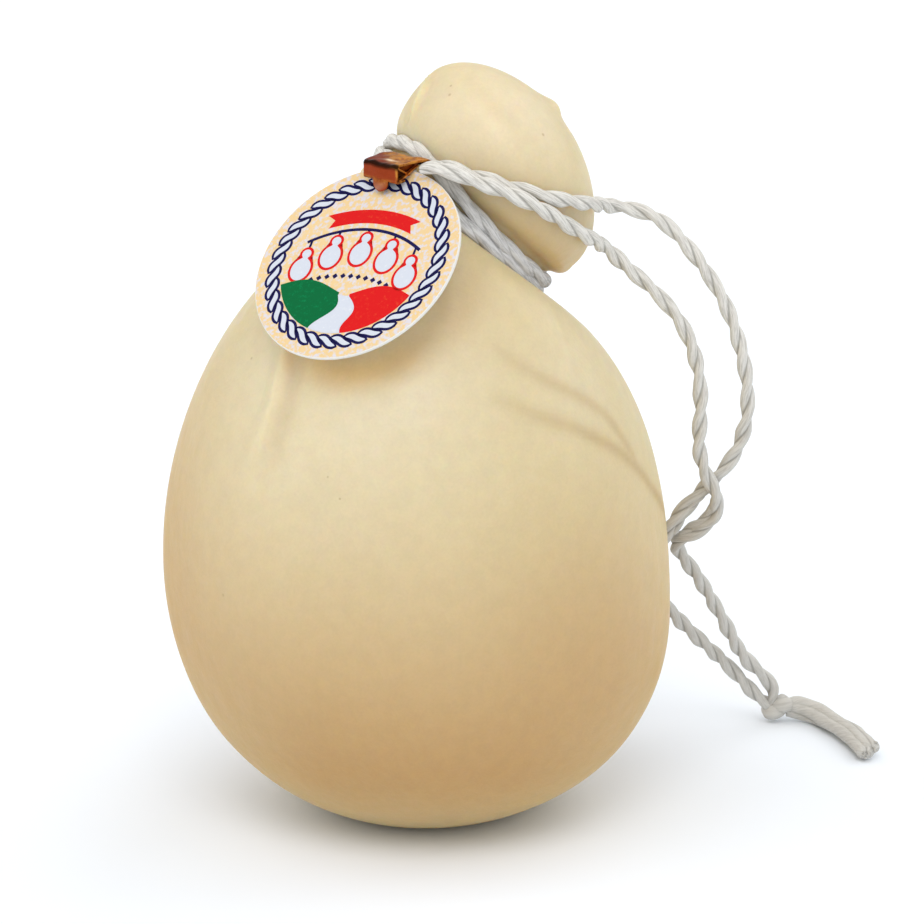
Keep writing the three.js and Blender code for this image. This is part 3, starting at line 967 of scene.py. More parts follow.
    def pleat_relief(self, angle: np.ndarray) -> np.ndarray:
        """Height of the pleats at angles round the shoulder."""
        height = np.zeros_like(angle)
        for k in range(self.pleat_count):
            share = 1 - self.pleat_variety + self.pleat_variety * math.cos(2.4 * k)
            crest = self.pleat_first + k * TAU / self.pleat_count + self.pleat_wander * math.sin(5.1 * k)
            for turn, rise in ((0.0, self.pleat_crest), (self.pleat_side, -self.pleat_groove)):
                away = angle - crest - turn * self.pleat_width
                widths = np.arctan2(np.sin(away), np.cos(away)) / self.pleat_width
                height += share * rise * np.exp(-(widths**2))
        return height

    def skin(self) -> tuple[np.ndarray, np.ndarray]:
        """Grid of surface points, and the pole, before the fine relief."""
        rings, pleats, pole = self.rings()
        angle = np.linspace(0, TAU, self.round_count, endpoint=False)
        size = np.linalg.norm(rings[:, 1], axis=1)
        grow = 1 + pleats[:, None] * self.pleat_relief(angle)[None] / size[:, None]
        cos, sin = np.cos(angle), np.sin(angle)
        points = (
            rings[:, None, 0]
            + rings[:, None, 1] * (grow * cos)[..., None]
            + rings[:, None, 2] * (grow * sin)[..., None]
        )
        return self.soften_lip(points), pole

    def soften_lip(self, points: np.ndarray) -> np.ndarray:
        """Rounds the lip below the twine and the corner above it."""
        lip = self.lower_rings + self.upper_rings
        first, last = lip - self.soft_before, lip + self.lip_rings + self.groove_rings + self.soft_after
        for _ in range(self.soft_rounds):
            before, after = points[first - 1:last - 1], points[first + 1:last + 1]
            points[first:last] = (before + 2 * points[first:last] + after) / 4
        return points

    def relief(self, points: np.ndarray) -> np.ndarray:
        """Height of the hand-moulded unevenness, the head's nub and its crease at points."""
        x, y, z = np.moveaxis(points, -1, 0)
        soft = (
            np.sin(0.061 * x + 0.043 * z + 1.0) * np.sin(0.052 * y - 0.031 * z + 0.4)
            + 0.6 * np.sin(0.11 * x - 0.07 * y + 2.1) * np.sin(0.09 * z + 0.6)
        )
        height = self.unevenness * soft * smoothstep(z, 2.0, 25.0)
        for centre, rise, spread in (
            (self.nub_centre, self.nub_height, self.nub_spread),
            (self.notch_centre, -self.notch_depth, self.notch_spread),
            (self.dip_centre, -self.dip_depth, self.dip_spread),
        ):
            away = np.linalg.norm(points - np.array(centre), axis=-1) / spread
            height += rise * np.exp(-(away**2) / 2)
        for fold in self.folds:
            height += self.fold_relief(points, fold)
        return height

    def fold_relief(self, points: np.ndarray, fold: Fold) -> np.ndarray:
        """Height of one fold at points, fading toward its ends."""
        route = smooth_route(fold.route, fold.step)
        fade = np.sin(math.pi * np.linspace(*fold.span, len(route))) ** fold.fade
        height = np.zeros(points.shape[:-1])
        limit = route_length(route) / 2 + fold.reach * fold.width
        reach = np.linalg.norm(points - route.mean(0), axis=-1) < limit
        near = points[reach]
        for spot, share in zip(route, fade):
            away = np.linalg.norm(near - spot, axis=-1) / fold.width
            height[reach] = np.maximum(height[reach], share * np.exp(-(away**2)))
        return fold.height * height

    def build(self) -> bpy.types.Object:
        """Dense closed skin of the cheese."""
        points, pole = self.skin()
        around = np.roll(points, -1, axis=1) - np.roll(points, 1, axis=1)
        upward = np.gradient(points, axis=0)
        normal = np.cross(around, upward)
        normal /= np.linalg.norm(normal, axis=-1, keepdims=True)
        points = points + normal * self.relief(points)[..., None]
        rings, count = points.shape[:2]
        corners = np.vstack([points.reshape(-1, 3), [0, 0, 0], pole])
        base, top, last = rings * count, rings * count + 1, (rings - 1) * count
        row = np.arange(count)
        turn = np.roll(row, -1)
        low = (np.arange(rings - 1) * count)[:, None]
        quads = np.stack([low + row, low + turn, low + count + turn, low + count + row], axis=-1)
        faces = quads.reshape(-1, 4).tolist()
        faces += [[base, int(b), int(a)] for a, b in zip(row, turn)]
        faces += [[top, int(last + a), int(last + b)] for a, b in zip(row, turn)]
        piece = new_piece("cheese_rind", corners, faces)
        marks = np.zeros(len(corners))
        for mark in self.twine_shadows:
            marks = np.maximum(marks, self.fold_relief(corners, mark))
        # Painted shadows of the twine and the tag, painted shade and painted highlights, kept for the
        # rind's colour.
        fields = {
            "twine_shadow": marks,
            "painted_shade": self.painted_shade(corners),
            "scuff_and_highlight": self.scuff_and_highlight(corners),
            "tag_shadow": self.fold_relief(corners, self.tag_shadow),
        }
        keep_fields(piece, fields)
        return piece

    def scuff_and_highlight(self, points: np.ndarray) -> np.ndarray:
        """How pale the rind is at points: small scuffs and broad patches, those on the front painted
        highlight, and painted highlight on the crests of its folds.
        """
        share = np.zeros(len(points))
        for centre, spread, most in self.scuffs_and_highlights:
            away = np.linalg.norm(points - np.array(centre), axis=-1) / spread
            share = np.maximum(share, most * np.exp(-(away**2)))
        # Painted highlight along each ridge's crest.
        for fold in self.folds:
            if fold.height > 0:
                crest = self.fold_relief(points, fold) / fold.height
                share = np.maximum(share, self.crest_highlight * crest)
        return share

    def painted_shade(self, points: np.ndarray) -> np.ndarray:
        """How much painted shade darkens and warms the rind at points: low down, at its sides, at the
        tie, in the folds' grooves and in the tag's shadow.
        """
        shares = [*self.shade_low_and_sides(points), *self.shade_at_tie(points), self.fold_relief(points, self.shaded)]
        # Painted shade in the grooves of the folds.
        for fold in self.folds:
            if fold.height < 0:
                shares.append(self.warm_shade.fold_share * np.abs(self.fold_relief(points, fold)))
        return 1 - np.prod([1 - share for share in shares], axis=0)

    def shade_low_and_sides(self, points: np.ndarray) -> tuple[np.ndarray, ...]:
        """Shares of painted shade low on the body, on its left and back, and on its right."""
        warm_shade = self.warm_shade
        x, y, z = np.moveaxis(points, -1, 0)
        low = fall(z, *warm_shade.low_fade)
        low *= warm_shade.rest_share + (1 - warm_shade.rest_share) * smoothstep(z, *warm_shade.rest_rise)
        low *= 1 - warm_shade.flank_share * smoothstep(np.abs(x), *warm_shade.flank_out) * fall(z, *warm_shade.flank_fade)
        radius = np.hypot(x, y)
        out = np.where(y > 0, radius, -x)
        left = warm_shade.left_share * smoothstep(out, *warm_shade.left_out)
        left = (left + warm_shade.rim_share * smoothstep(out, *warm_shade.rim_out)) * fall(z, *warm_shade.left_fade)
        left *= np.where(y > 0, smoothstep(-x / np.maximum(radius, 1), *warm_shade.left_turn), 1)
        right = warm_shade.right_share * smoothstep(x, *warm_shade.right_out)
        right *= 1 - warm_shade.right_edge_share * smoothstep(x, *warm_shade.right_edge)
        right *= fall(z, *warm_shade.right_fade) * smoothstep(z, *warm_shade.right_rise)
        return low, left, right

    def shade_at_tie(self, points: np.ndarray) -> tuple[np.ndarray, ...]:
        """Shares of painted shade under the head and in the groove."""
        warm_shade = self.warm_shade
        facing = self.axes(self.neck_lean, self.neck_back)[2]
        away = points - np.array(self.neck_centre)
        above = away @ facing
        under_head = warm_shade.head_share * fall(above, *warm_shade.head_fade) * smoothstep(above, *warm_shade.head_rise)
        under_head *= smoothstep(points[:, 0], *warm_shade.head_out)
        off_axis = np.linalg.norm(away - above[:, None] * facing, axis=-1)
        groove = warm_shade.groove_share * np.exp(-((above / warm_shade.groove_width) ** 2))
        return under_head, groove * fall(off_axis, *warm_shade.groove_fade)

    def dress(self) -> None:
        """Builds the cheese and gives it its rind."""
        piece = self.build()
        piece.data.materials.append(self.finish.material())
        settle(piece, Slot.RIND, "cheese")


@dataclass(frozen=True)
class TwineSection:
    """Section of a two-ply twine and how it is laid. Each end thins out over its taper."""

    ply_radius: float = 1.36
    ply_offset: float = 0.78
    pitch: float = 19.0
    start: float = 0.0
    lumps: float = 0.42
    fibre_depth: float = 0.15
    step: float = 0.55
    seed: float = 0.0
    taper: float = 0.01
    end_taper: float = 0.01


class TwineMaker:
    """Lays two plies round each other along a path."""

    PLY_SIDES = 18
    FIBRE_TWIST = 260.0
    FIBRE_RATE = 70.0
    PLY_APART = 5.0
    LUMP_RATE = 120.0
    WANDER_RATE = 40.0
    WANDER = 2.4
    THIN_END = 0.45
    FIBRE_NOISE = (1.9, 3.0, 0.6)

    def __init__(self, finish: TwineFinish) -> None:
        """Builds the recipe and the twine's finish."""
        self.material = finish.material()
        self.recipe = Recipe(
            "two_ply_twine",
            (
                "Ply radius", "Ply offset", "Pitch", "Start", "Lumps", "Fibre depth", "Step", "Seed",
                "Taper", "End taper",
            ),
        )
        self.lay_out()

    def ply(self, side: float) -> Socket:
        """Round section of one ply, marked with its angle and its side."""
        graph = self.recipe.graph
        inputs = {"Resolution": self.PLY_SIDES, "Radius": self.recipe["Ply radius"]}
        circle = graph.add("GeometryNodeCurvePrimitiveCircle", inputs, mode="RADIUS").outputs["Curve"]
        angle = graph.math("MULTIPLY", graph.add("GeometryNodeSplineParameter").outputs["Factor"], TAU)
        mark = graph.combine(graph.math("COSINE", angle), graph.math("SINE", angle), side)
        circle = self.store(circle, "ply_mark", mark, "FLOAT_VECTOR")
        shift = graph.combine(graph.math("MULTIPLY", self.recipe["Ply offset"], side), 0.0, 0.0)
        return graph.add("GeometryNodeTransform", {"Geometry": circle, "Translation": shift}).outputs[0]

    def store(self, geometry: Socket, name: str, value: Socket, kind: str) -> Socket:
        """Geometry with a named value kept on its points."""
        inputs = {"Geometry": geometry, "Name": name, "Value": value}
        settings = {"data_type": kind, "domain": "POINT"}
        return self.recipe.graph.add("GeometryNodeStoreNamedAttribute", inputs, **settings).outputs[0]

    def kept(self, name: str, kind: str) -> Socket:
        """Named value kept on the points."""
        node = self.recipe.graph.add("GeometryNodeInputNamedAttribute", {"Name": name}, data_type=kind)
        return node.outputs["Attribute"]

    def lay_out(self) -> None:
        """Builds the tree: a twisted path, two ply sections along it, then fibres in relief."""
        recipe, graph = self.recipe, self.recipe.graph
        curve = graph.add("GeometryNodeMeshToCurve", {"Mesh": recipe["Geometry"]}).outputs[0]
        inputs = {"Curve": curve, "Length": recipe["Step"]}
        curve = graph.add("GeometryNodeResampleCurve", inputs, mode="LENGTH").outputs[0]
        length = graph.add("GeometryNodeSplineParameter").outputs["Length"]
        curve = self.store(curve, "along", length, "FLOAT")
        spot = graph.combine(graph.math("MULTIPLY", length, self.WANDER_RATE), recipe["Seed"], 0.0)
        wander = graph.math("MULTIPLY", graph.noise(spot, 1.0, 1.0), self.WANDER)
        turns = graph.math("MULTIPLY", graph.math("DIVIDE", length, recipe["Pitch"]), TAU)
        tilt = graph.math("ADD", graph.math("ADD", turns, recipe["Start"]), wander)
        curve = graph.add("GeometryNodeSetCurveTilt", {"Curve": curve, "Tilt": tilt}).outputs[0]
        lump_spot = graph.combine(graph.math("MULTIPLY", length, self.LUMP_RATE), recipe["Seed"], 3.0)
        lump = graph.math("SUBTRACT", graph.noise(lump_spot, 1.0, 1.0), 0.5)
        scale = graph.math("ADD", graph.math("MULTIPLY", lump, recipe["Lumps"]), 1.0)
        scale = graph.math("MULTIPLY", scale, self.tapered(length, "Taper"))
        ahead = graph.math("SUBTRACT", graph.add("GeometryNodeSplineLength").outputs["Length"], length)
        scale = graph.math("MULTIPLY", scale, self.tapered(ahead, "End taper"))
        join = graph.add("GeometryNodeJoinGeometry")
        for side in (1.0, -1.0):
            graph.tree.links.new(self.ply(side), join.inputs[0])
        inputs = {"Curve": curve, "Profile Curve": join.outputs[0], "Scale": scale, "Fill Caps": True}
        mesh = graph.add("GeometryNodeCurveToMesh", inputs).outputs[0]
        mesh = self.store(mesh, "fibre", self.fibre_place(), "FLOAT_VECTOR")
        fibres = graph.noise(self.kept("fibre", "FLOAT_VECTOR"), *self.FIBRE_NOISE)
        lift = graph.math("SUBTRACT", fibres, 0.5)
        normal = graph.add("GeometryNodeInputNormal").outputs["Normal"]
        offset = graph.scaled(normal, graph.math("MULTIPLY", lift, recipe["Fibre depth"]))
        mesh = graph.add("GeometryNodeSetPosition", {"Geometry": mesh, "Offset": offset}).outputs[0]
        mesh = graph.add("GeometryNodeSetShadeSmooth", {"Geometry": mesh}).outputs[0]
        recipe.close(mesh)

    def tapered(self, distance: Socket, taper: str) -> Socket:
        """Share of the full thickness at a distance from an end that thins over a taper's length."""
        inputs = {0: distance, 1: 0.0, 2: self.recipe[taper], 3: self.THIN_END, 4: 1.0}
        return self.recipe.graph.add("ShaderNodeMapRange", inputs).outputs[0]

    def fibre_place(self) -> Socket:
        """Place on a ply that turns with its fibres: two numbers round it and one along it."""
        graph = self.recipe.graph
        along, mark = self.kept("along", "FLOAT"), self.kept("ply_mark", "FLOAT_VECTOR")
        angle = graph.math("MULTIPLY", along, self.FIBRE_TWIST)
        inputs = {"Vector": mark, "Angle": angle}
        turned = graph.add("ShaderNodeVectorRotate", inputs, rotation_type="Z_AXIS").outputs[0]
        x, y, side = graph.add("ShaderNodeSeparateXYZ", {0: turned}).outputs
        run = graph.math("ADD", graph.math("MULTIPLY", along, self.FIBRE_RATE), self.recipe["Seed"])
        return graph.combine(x, y, graph.math("ADD", run, graph.math("MULTIPLY", side, self.PLY_APART)))

    def lay(self, name: str, paths: Sequence[np.ndarray], section: TwineSection) -> bpy.types.Object:
        """Twine along one path or several.

        Args:
            name: Name of the piece.
            paths: Points along the middle of each length, in millimetres.
            section: Sizes of the twine.

        Returns:
            The twine as a plain mesh.
        """
        edges, base = [], 0
        for path in paths:
            edges += [(base + i, base + i + 1) for i in range(len(path) - 1)]
            base += len(path)
        host = new_piece(name, np.vstack(paths), [], edges)
        numbers = {
            "Ply radius": section.ply_radius * MM,
            "Ply offset": section.ply_offset * MM,
            "Pitch": section.pitch * MM,
            "Start": math.radians(section.start),
            "Lumps": section.lumps,
            "Fibre depth": section.fibre_depth * MM,
            "Step": section.step * MM,
            "Seed": section.seed,
            "Taper": section.taper * MM,
            "End taper": section.end_taper * MM,
        }
        return self.recipe.make(host, self.material, numbers)


@dataclass
class FreeTwine:
    """The twine's free run: two strands from the clip to the knot, the knot and two tails."""

    maker: TwineMaker
    diameter: float = 4.0
    route_step: float = 1.0
    strand: TwineSection = TwineSection(taper=5.0)
    route_a: tuple[Triple, ...] = (
        (-0.3, -24.8, 183.8), (4.5, -27.1, 184.7), (13.6, -29.5, 182.5), (22.7, -31.0, 179.9),
        (31.8, -29.4, 177.1), (39.8, -23.9, 174.5), (44.6, -17.7, 172.7), (50.2, -4.0, 169.3),
        (55.6, -1.0, 167.9), (62.7, 0.0, 165.0), (69.2, 2.0, 158.8), (75.6, 3.0, 150.4),
        (81.0, 5.0, 141.1), (85.3, 7.0, 129.5), (87.9, 10.0, 116.8), (88.0, 13.0, 106.1),
        (85.6, 16.0, 96.6), (81.7, 18.0, 90.0), (77.7, 20.0, 85.5), (73.5, 22.0, 80.3),
        (69.2, 24.0, 74.6), (65.9, 28.0, 66.2), (64.8, 33.0, 56.0), (66.9, 40.0, 46.5),
        (71.4, 48.0, 39.0), (78.7, 55.0, 30.0), (87.4, 62.0, 19.9), (97.6, 69.0, 7.4),
    )
    route_b: tuple[Triple, ...] = (
        (-3.1, -28.2, 183.5), (4.6, -32.2, 184.9), (13.6, -34.3, 182.1), (22.2, -35.3, 179.2),
        (27.9, -34.3, 176.3), (33.7, -30.2, 172.3), (39.6, -23.5, 167.2), (43.9, -17.3, 163.5),
        (49.2, -5.0, 157.6), (55.2, -2.0, 151.5), (62.4, 0.0, 144.7), (68.7, 2.0, 136.8),
        (72.7, 4.0, 128.0), (74.9, 7.0, 117.5), (75.2, 9.0, 107.7), (75.1, 11.0, 99.3),
        (76.7, 13.0, 92.2), (79.3, 14.5, 86.4), (80.7, 18.0, 81.4), (79.7, 22.0, 75.4),
        (74.9, 25.0, 70.5), (70.4, 30.0, 66.8), (71.3, 35.0, 62.4), (76.8, 41.0, 53.3),
        (84.0, 50.0, 39.3), (91.1, 59.0, 24.5), (100.8, 69.6, 10.7),
    )
    tail_a: tuple[Triple, ...] = (
        (108.9, 70.6, 2.2), (112.2, 67.6, 2.1), (116.1, 60.2, 2.1), (120.5, 50.2, 2.1),
        (123.0, 40.4, 2.1), (124.5, 34.2, 2.1),
    )
    tail_b: tuple[Triple, ...] = (
        (108.9, 72.9, 5.9), (115.1, 69.8, 4.6), (119.5, 62.0, 4.1), (123.9, 52.0, 4.1),
        (126.4, 42.2, 4.1), (127.9, 36.0, 4.1),
    )
    knot_centre: Triple = (102.8, 71.7, 4.6)
    knot_size: Triple = (10.4, 8.8, 8.8)
    knot_heading: float = math.radians(-8)
    knot_reach: float = 2.05
    knot_points: int = 160
    knot_entry: Triple = (-2.0, -0.6, 0.4)
    knot_exit: Triple = (2.5, 0.0, -0.6)
    knot_section: TwineSection = TwineSection(2.3, 0.5, 16.0, seed=9.0)
    tail_section: TwineSection = TwineSection(1.8, 0.8, 160.0, 30.0, 0.36, 0.24)
    tail_pull: float = 0.5
    loose_plies: tuple[tuple[Triple, ...], ...] = (
        ((79.6, 18.8, 82.2), (79.0, 21.4, 77.2), (75.8, 24.0, 73.6), (71.4, 27.6, 69.3)),
        ((77.9, 20.0, 84.6), (74.6, 21.7, 80.2), (71.4, 23.5, 75.9), (68.9, 26.6, 70.2)),
    )
    loose_section: TwineSection = TwineSection(1.05, 0.5, 15.0, lumps=0.5, seed=31.0, taper=3.0)
    fray_seed: int = 5
    fray_count: int = 16
    fray_length: float = 2.6
    fray_root: float = 1.4
    fray_scatter: float = 0.6
    fray_lean: float = 0.3
    fray_sag: float = 0.35
    fray_height: float = 0.5
    fray_section: TwineSection = TwineSection(0.3, 0.16, 6.0, 0.0, 0.3, 0.05, 0.4, 21.0)

    def knot_path(self) -> np.ndarray:
        """Middle line of an overhand knot drawn tight."""
        t = np.linspace(-self.knot_reach, self.knot_reach, self.knot_points)
        shape = np.stack([t**3 - 3 * t, t**4 - 4 * t**2, (t**5 - 10 * t) / 4], axis=1)
        shape -= (shape.max(0) + shape.min(0)) / 2
        thick = 2 * (self.knot_section.ply_radius + self.knot_section.ply_offset)
        room = np.array(self.knot_size) - thick
        x, y, z = (shape * room / np.ptp(shape, axis=0)).T
        cos, sin = math.cos(self.knot_heading), math.sin(self.knot_heading)
        return np.stack([x * cos - y * sin, x * sin + y * cos, z], axis=1) + np.array(self.knot_centre)

    def tail_paths(self, routes: Sequence[Sequence[Triple]]) -> list[np.ndarray]:
        """Middle lines of the tails as they lie, pressed against each other."""
        middle = np.mean([np.array(route) for route in routes], axis=0)
        pulled = [np.array(route) + self.tail_pull * (middle - np.array(route)) for route in routes]
        return [smooth_route([tuple(point) for point in route], self.route_step) for route in pulled]

    def fray(self, tails: Sequence[np.ndarray]) -> bpy.types.Object:
        """Loose fibres at the cut ends of the tails."""
        draw = np.random.default_rng(self.fray_seed)
        part = np.linspace(0, 1, 8)[:, None]
        paths = []
        for index in range(self.fray_count):
            tail = tails[index % len(tails)]
            ahead = unit(tail[-1] - tail[-4])
            start = tail[-1] - self.fray_root * ahead + draw.normal(0, self.fray_scatter, 3)
            lean = unit(ahead + draw.normal(0, self.fray_lean, 3))
            sag = np.array([0, 0, -self.fray_sag]) * draw.uniform(0.3, 1.0)
            reach = self.fray_length * draw.uniform(0.35, 1.0)
            path = start + lean * reach * part + sag * part**2
            path[:, 2] = np.maximum(path[:, 2], self.fray_height)
            paths.append(path)
        return settle(self.maker.lay("twine_fray", paths, self.fray_section), Slot.TWINE)

    def dress(self) -> None:
        """Lays the strands, the knot and the tails, and says how long each is."""
        middle = np.array(self.knot_centre)
        inward, outward = tuple(middle + self.knot_entry), tuple(middle + self.knot_exit)
        knot = self.maker.lay("twine_knot", [self.knot_path()], self.knot_section)
        settle(knot, Slot.TWINE, "knot")
        plies = [smooth_route(route, self.route_step) for route in self.loose_plies]
        loose = settle(self.maker.lay("twine_loose_plies", plies, self.loose_section), Slot.TWINE)
        for letter, route, trim, seed, beside in (
            ("a", self.route_a, 0.0, 1.0, knot),
            ("b", self.route_b, 3.0, 4.0, loose),
        ):
            path = smooth_route([*route, inward], self.route_step)
            laid = path[round(trim / self.route_step):]
            piece = self.maker.lay(f"twine_strand_{letter}", [laid], replace(self.strand, seed=seed))
            self.declare(settle(piece, Slot.TWINE, f"twine_{letter}"), path)
        routes = [[outward, *self.tail_a], [outward, *self.tail_b]]
        tails = self.tail_paths(routes)
        fray = self.fray(tails)
        for letter, route, tail, seed in zip("ab", routes, tails, (6.0, 7.0)):
            piece = self.maker.lay(f"twine_tail_{letter}", [tail], replace(self.tail_section, seed=seed))
            path = smooth_route(route, self.route_step)
            beside = [fray] if letter == "b" else []
            self.declare(settle(piece, Slot.TWINE, f"tail_{letter}"), path)

    def declare(
        self,
        piece: bpy.types.Object,
        path: np.ndarray,
    ) -> None:
        """Logs the length of a piece of twine.

        Args:
            piece: The twine's mesh.
            path: Points along its middle, in millimetres.
        """
        LOG.info("%s: %.0f mm long", piece.name, route_length(path))


@dataclass(frozen=True)
class Swing:
    """Place where a turn leaves its level: how far, round which angle and how widely."""

    height: float
    angle: float
    width: float


@dataclass(frozen=True)
class Turn:
    """One turn of twine round the neck: its level along the neck's axis and where it swings from it."""

    node: str
    level: float
    swings: tuple[Swing, ...]
    seed: float


@dataclass
class NeckTie:
    """Two tight turns of twine in the groove below the head."""

    maker: TwineMaker
    cheese: Cheese
    thickness: float = 3.6
    sink: float = 0.5
    first_angle: float = 90.0
    steps: int = 190
    lap: float = 18.0
    lap_rise: float = 1.3
    lap_start: Span = (80.0, 160.0)
    lap_end: Span = (380.0, 460.0)
    lap_lift: float = 0.5
    lift_end: Span = (420.0, 460.0)
    section: TwineSection = TwineSection(1.6, 0.55, 24.0, 0.0, 0.22, taper=7.0, end_taper=7.0)
    turns: tuple[Turn, ...] = (
        Turn("neck_turn_lower", -1.4, (Swing(-0.8, 288, 50),), 12.0),
        Turn("neck_turn_upper", 1.9, (Swing(2.9, 218, 38), Swing(-1.2, 300, 45)), 15.0),
    )

    def path(self, turn: Turn) -> np.ndarray:
        """Ring round the neck that swings from its level and laps over its own start at the back."""
        across, depth, facing = self.cheese.axes(self.cheese.neck_lean, self.cheese.neck_back)
        angle = np.linspace(self.first_angle, self.first_angle + 360 + self.lap, self.steps)
        shift = (smoothstep(angle, *self.lap_end) - fall(angle, *self.lap_start)) / 2
        level = turn.level + self.lap_rise * shift
        for swing in turn.swings:
            level = level + swing.height * np.exp(-(((angle - swing.angle) / swing.width) ** 2))
        radius = self.cheese.waist(level) + self.thickness / 2 - self.sink
        radius += self.lap_lift * smoothstep(angle, *self.lift_end)
        cos, sin = np.cos(np.radians(angle)), np.sin(np.radians(angle))
        ring = across * (radius * cos)[:, None] + depth * (radius * sin)[:, None]
        return np.array(self.cheese.neck_centre) + ring + facing * level[:, None]

    def dress(self) -> None:
        """Lays both turns."""
        for turn in self.turns:
            section = replace(self.section, seed=turn.seed)
            piece = self.maker.lay(f"twine_{turn.node}", [self.path(turn)], section)
            settle(piece, Slot.TWINE, turn.node)


@dataclass(frozen=True)
class Place:
    """Local axes of a piece: its origin in millimetres and three directions."""

    origin: np.ndarray
    first: np.ndarray
    second: np.ndarray
    third: np.ndarray

    def world(self, local: np.ndarray) -> np.ndarray:
        """Points in the object's frame of points given along the three directions."""
        return self.origin + np.asarray(local, float) @ np.stack([self.first, self.second, self.third])


def between_rings(low: int, count: int) -> list[list[int]]:
    """Faces between a ring of corners, given its first one, and the ring that follows it."""
    turns = [(i, (i + 1) % count) for i in range(count)]
    return [[low + i, low + j, low + count + j, low + count + i] for i, j in turns]


def prisms(
    outlines: Sequence[np.ndarray], low: float, high: float
) -> tuple[np.ndarray, list[list[int]]]:
    """Flat closed plates.

    Args:
        outlines: Outline of each plate, counter-clockwise.
        low, high: Heights of its two faces.

    Returns:
        Corners and faces of all plates.
    """
    points: list[np.ndarray] = []
    faces: list[list[int]] = []
    base = 0
    for outline in outlines:
        count = len(outline)
        points += [np.column_stack([outline, np.full(count, height)]) for height in (low, high)]
        faces.append([base + i for i in reversed(range(count))])
        faces.append([base + count + i for i in range(count)])
        faces += between_rings(base, count)
        base += 2 * count
    return np.vstack(points), faces


def arc(radius: float, start: float, end: float, count: int, middle: Span = (0, 0)) -> np.ndarray:
    """Points on a circle between two angles in degrees."""
    angle = np.radians(np.linspace(start, end, count))
    return np.stack([np.cos(angle), np.sin(angle)], axis=1) * radius + middle


def fan(radius: float, half: float, count: int, middle: Span) -> np.ndarray:
    """Points over the top of a circle from left to right, half degrees to each side."""
    return arc(radius, 90 + half, 90 - half, count, middle)


def arched_band(middle: Span, inner: float, outer: float, half: float) -> np.ndarray:
    """Outline of a band bent round a point below it, over an angle of half degrees to each side."""
    return np.vstack([fan(outer, -half, 40, middle), fan(inner, half, 40, middle)])


def grown(outline: np.ndarray, margin: float) -> np.ndarray:
    """Outline moved outward by a margin."""
    ahead = np.roll(outline, -1, axis=0) - np.roll(outline, 1, axis=0)
    outward = np.stack([ahead[:, 1], -ahead[:, 0]], axis=1)
    return outline + margin * outward / np.linalg.norm(outward, axis=1, keepdims=True)


class Ink(Enum):
    """Printing inks of the tag, in the order they are printed."""

    NAVY = "navy"
    RED = "red"
    GREEN = "green"
    WHITE = "white"


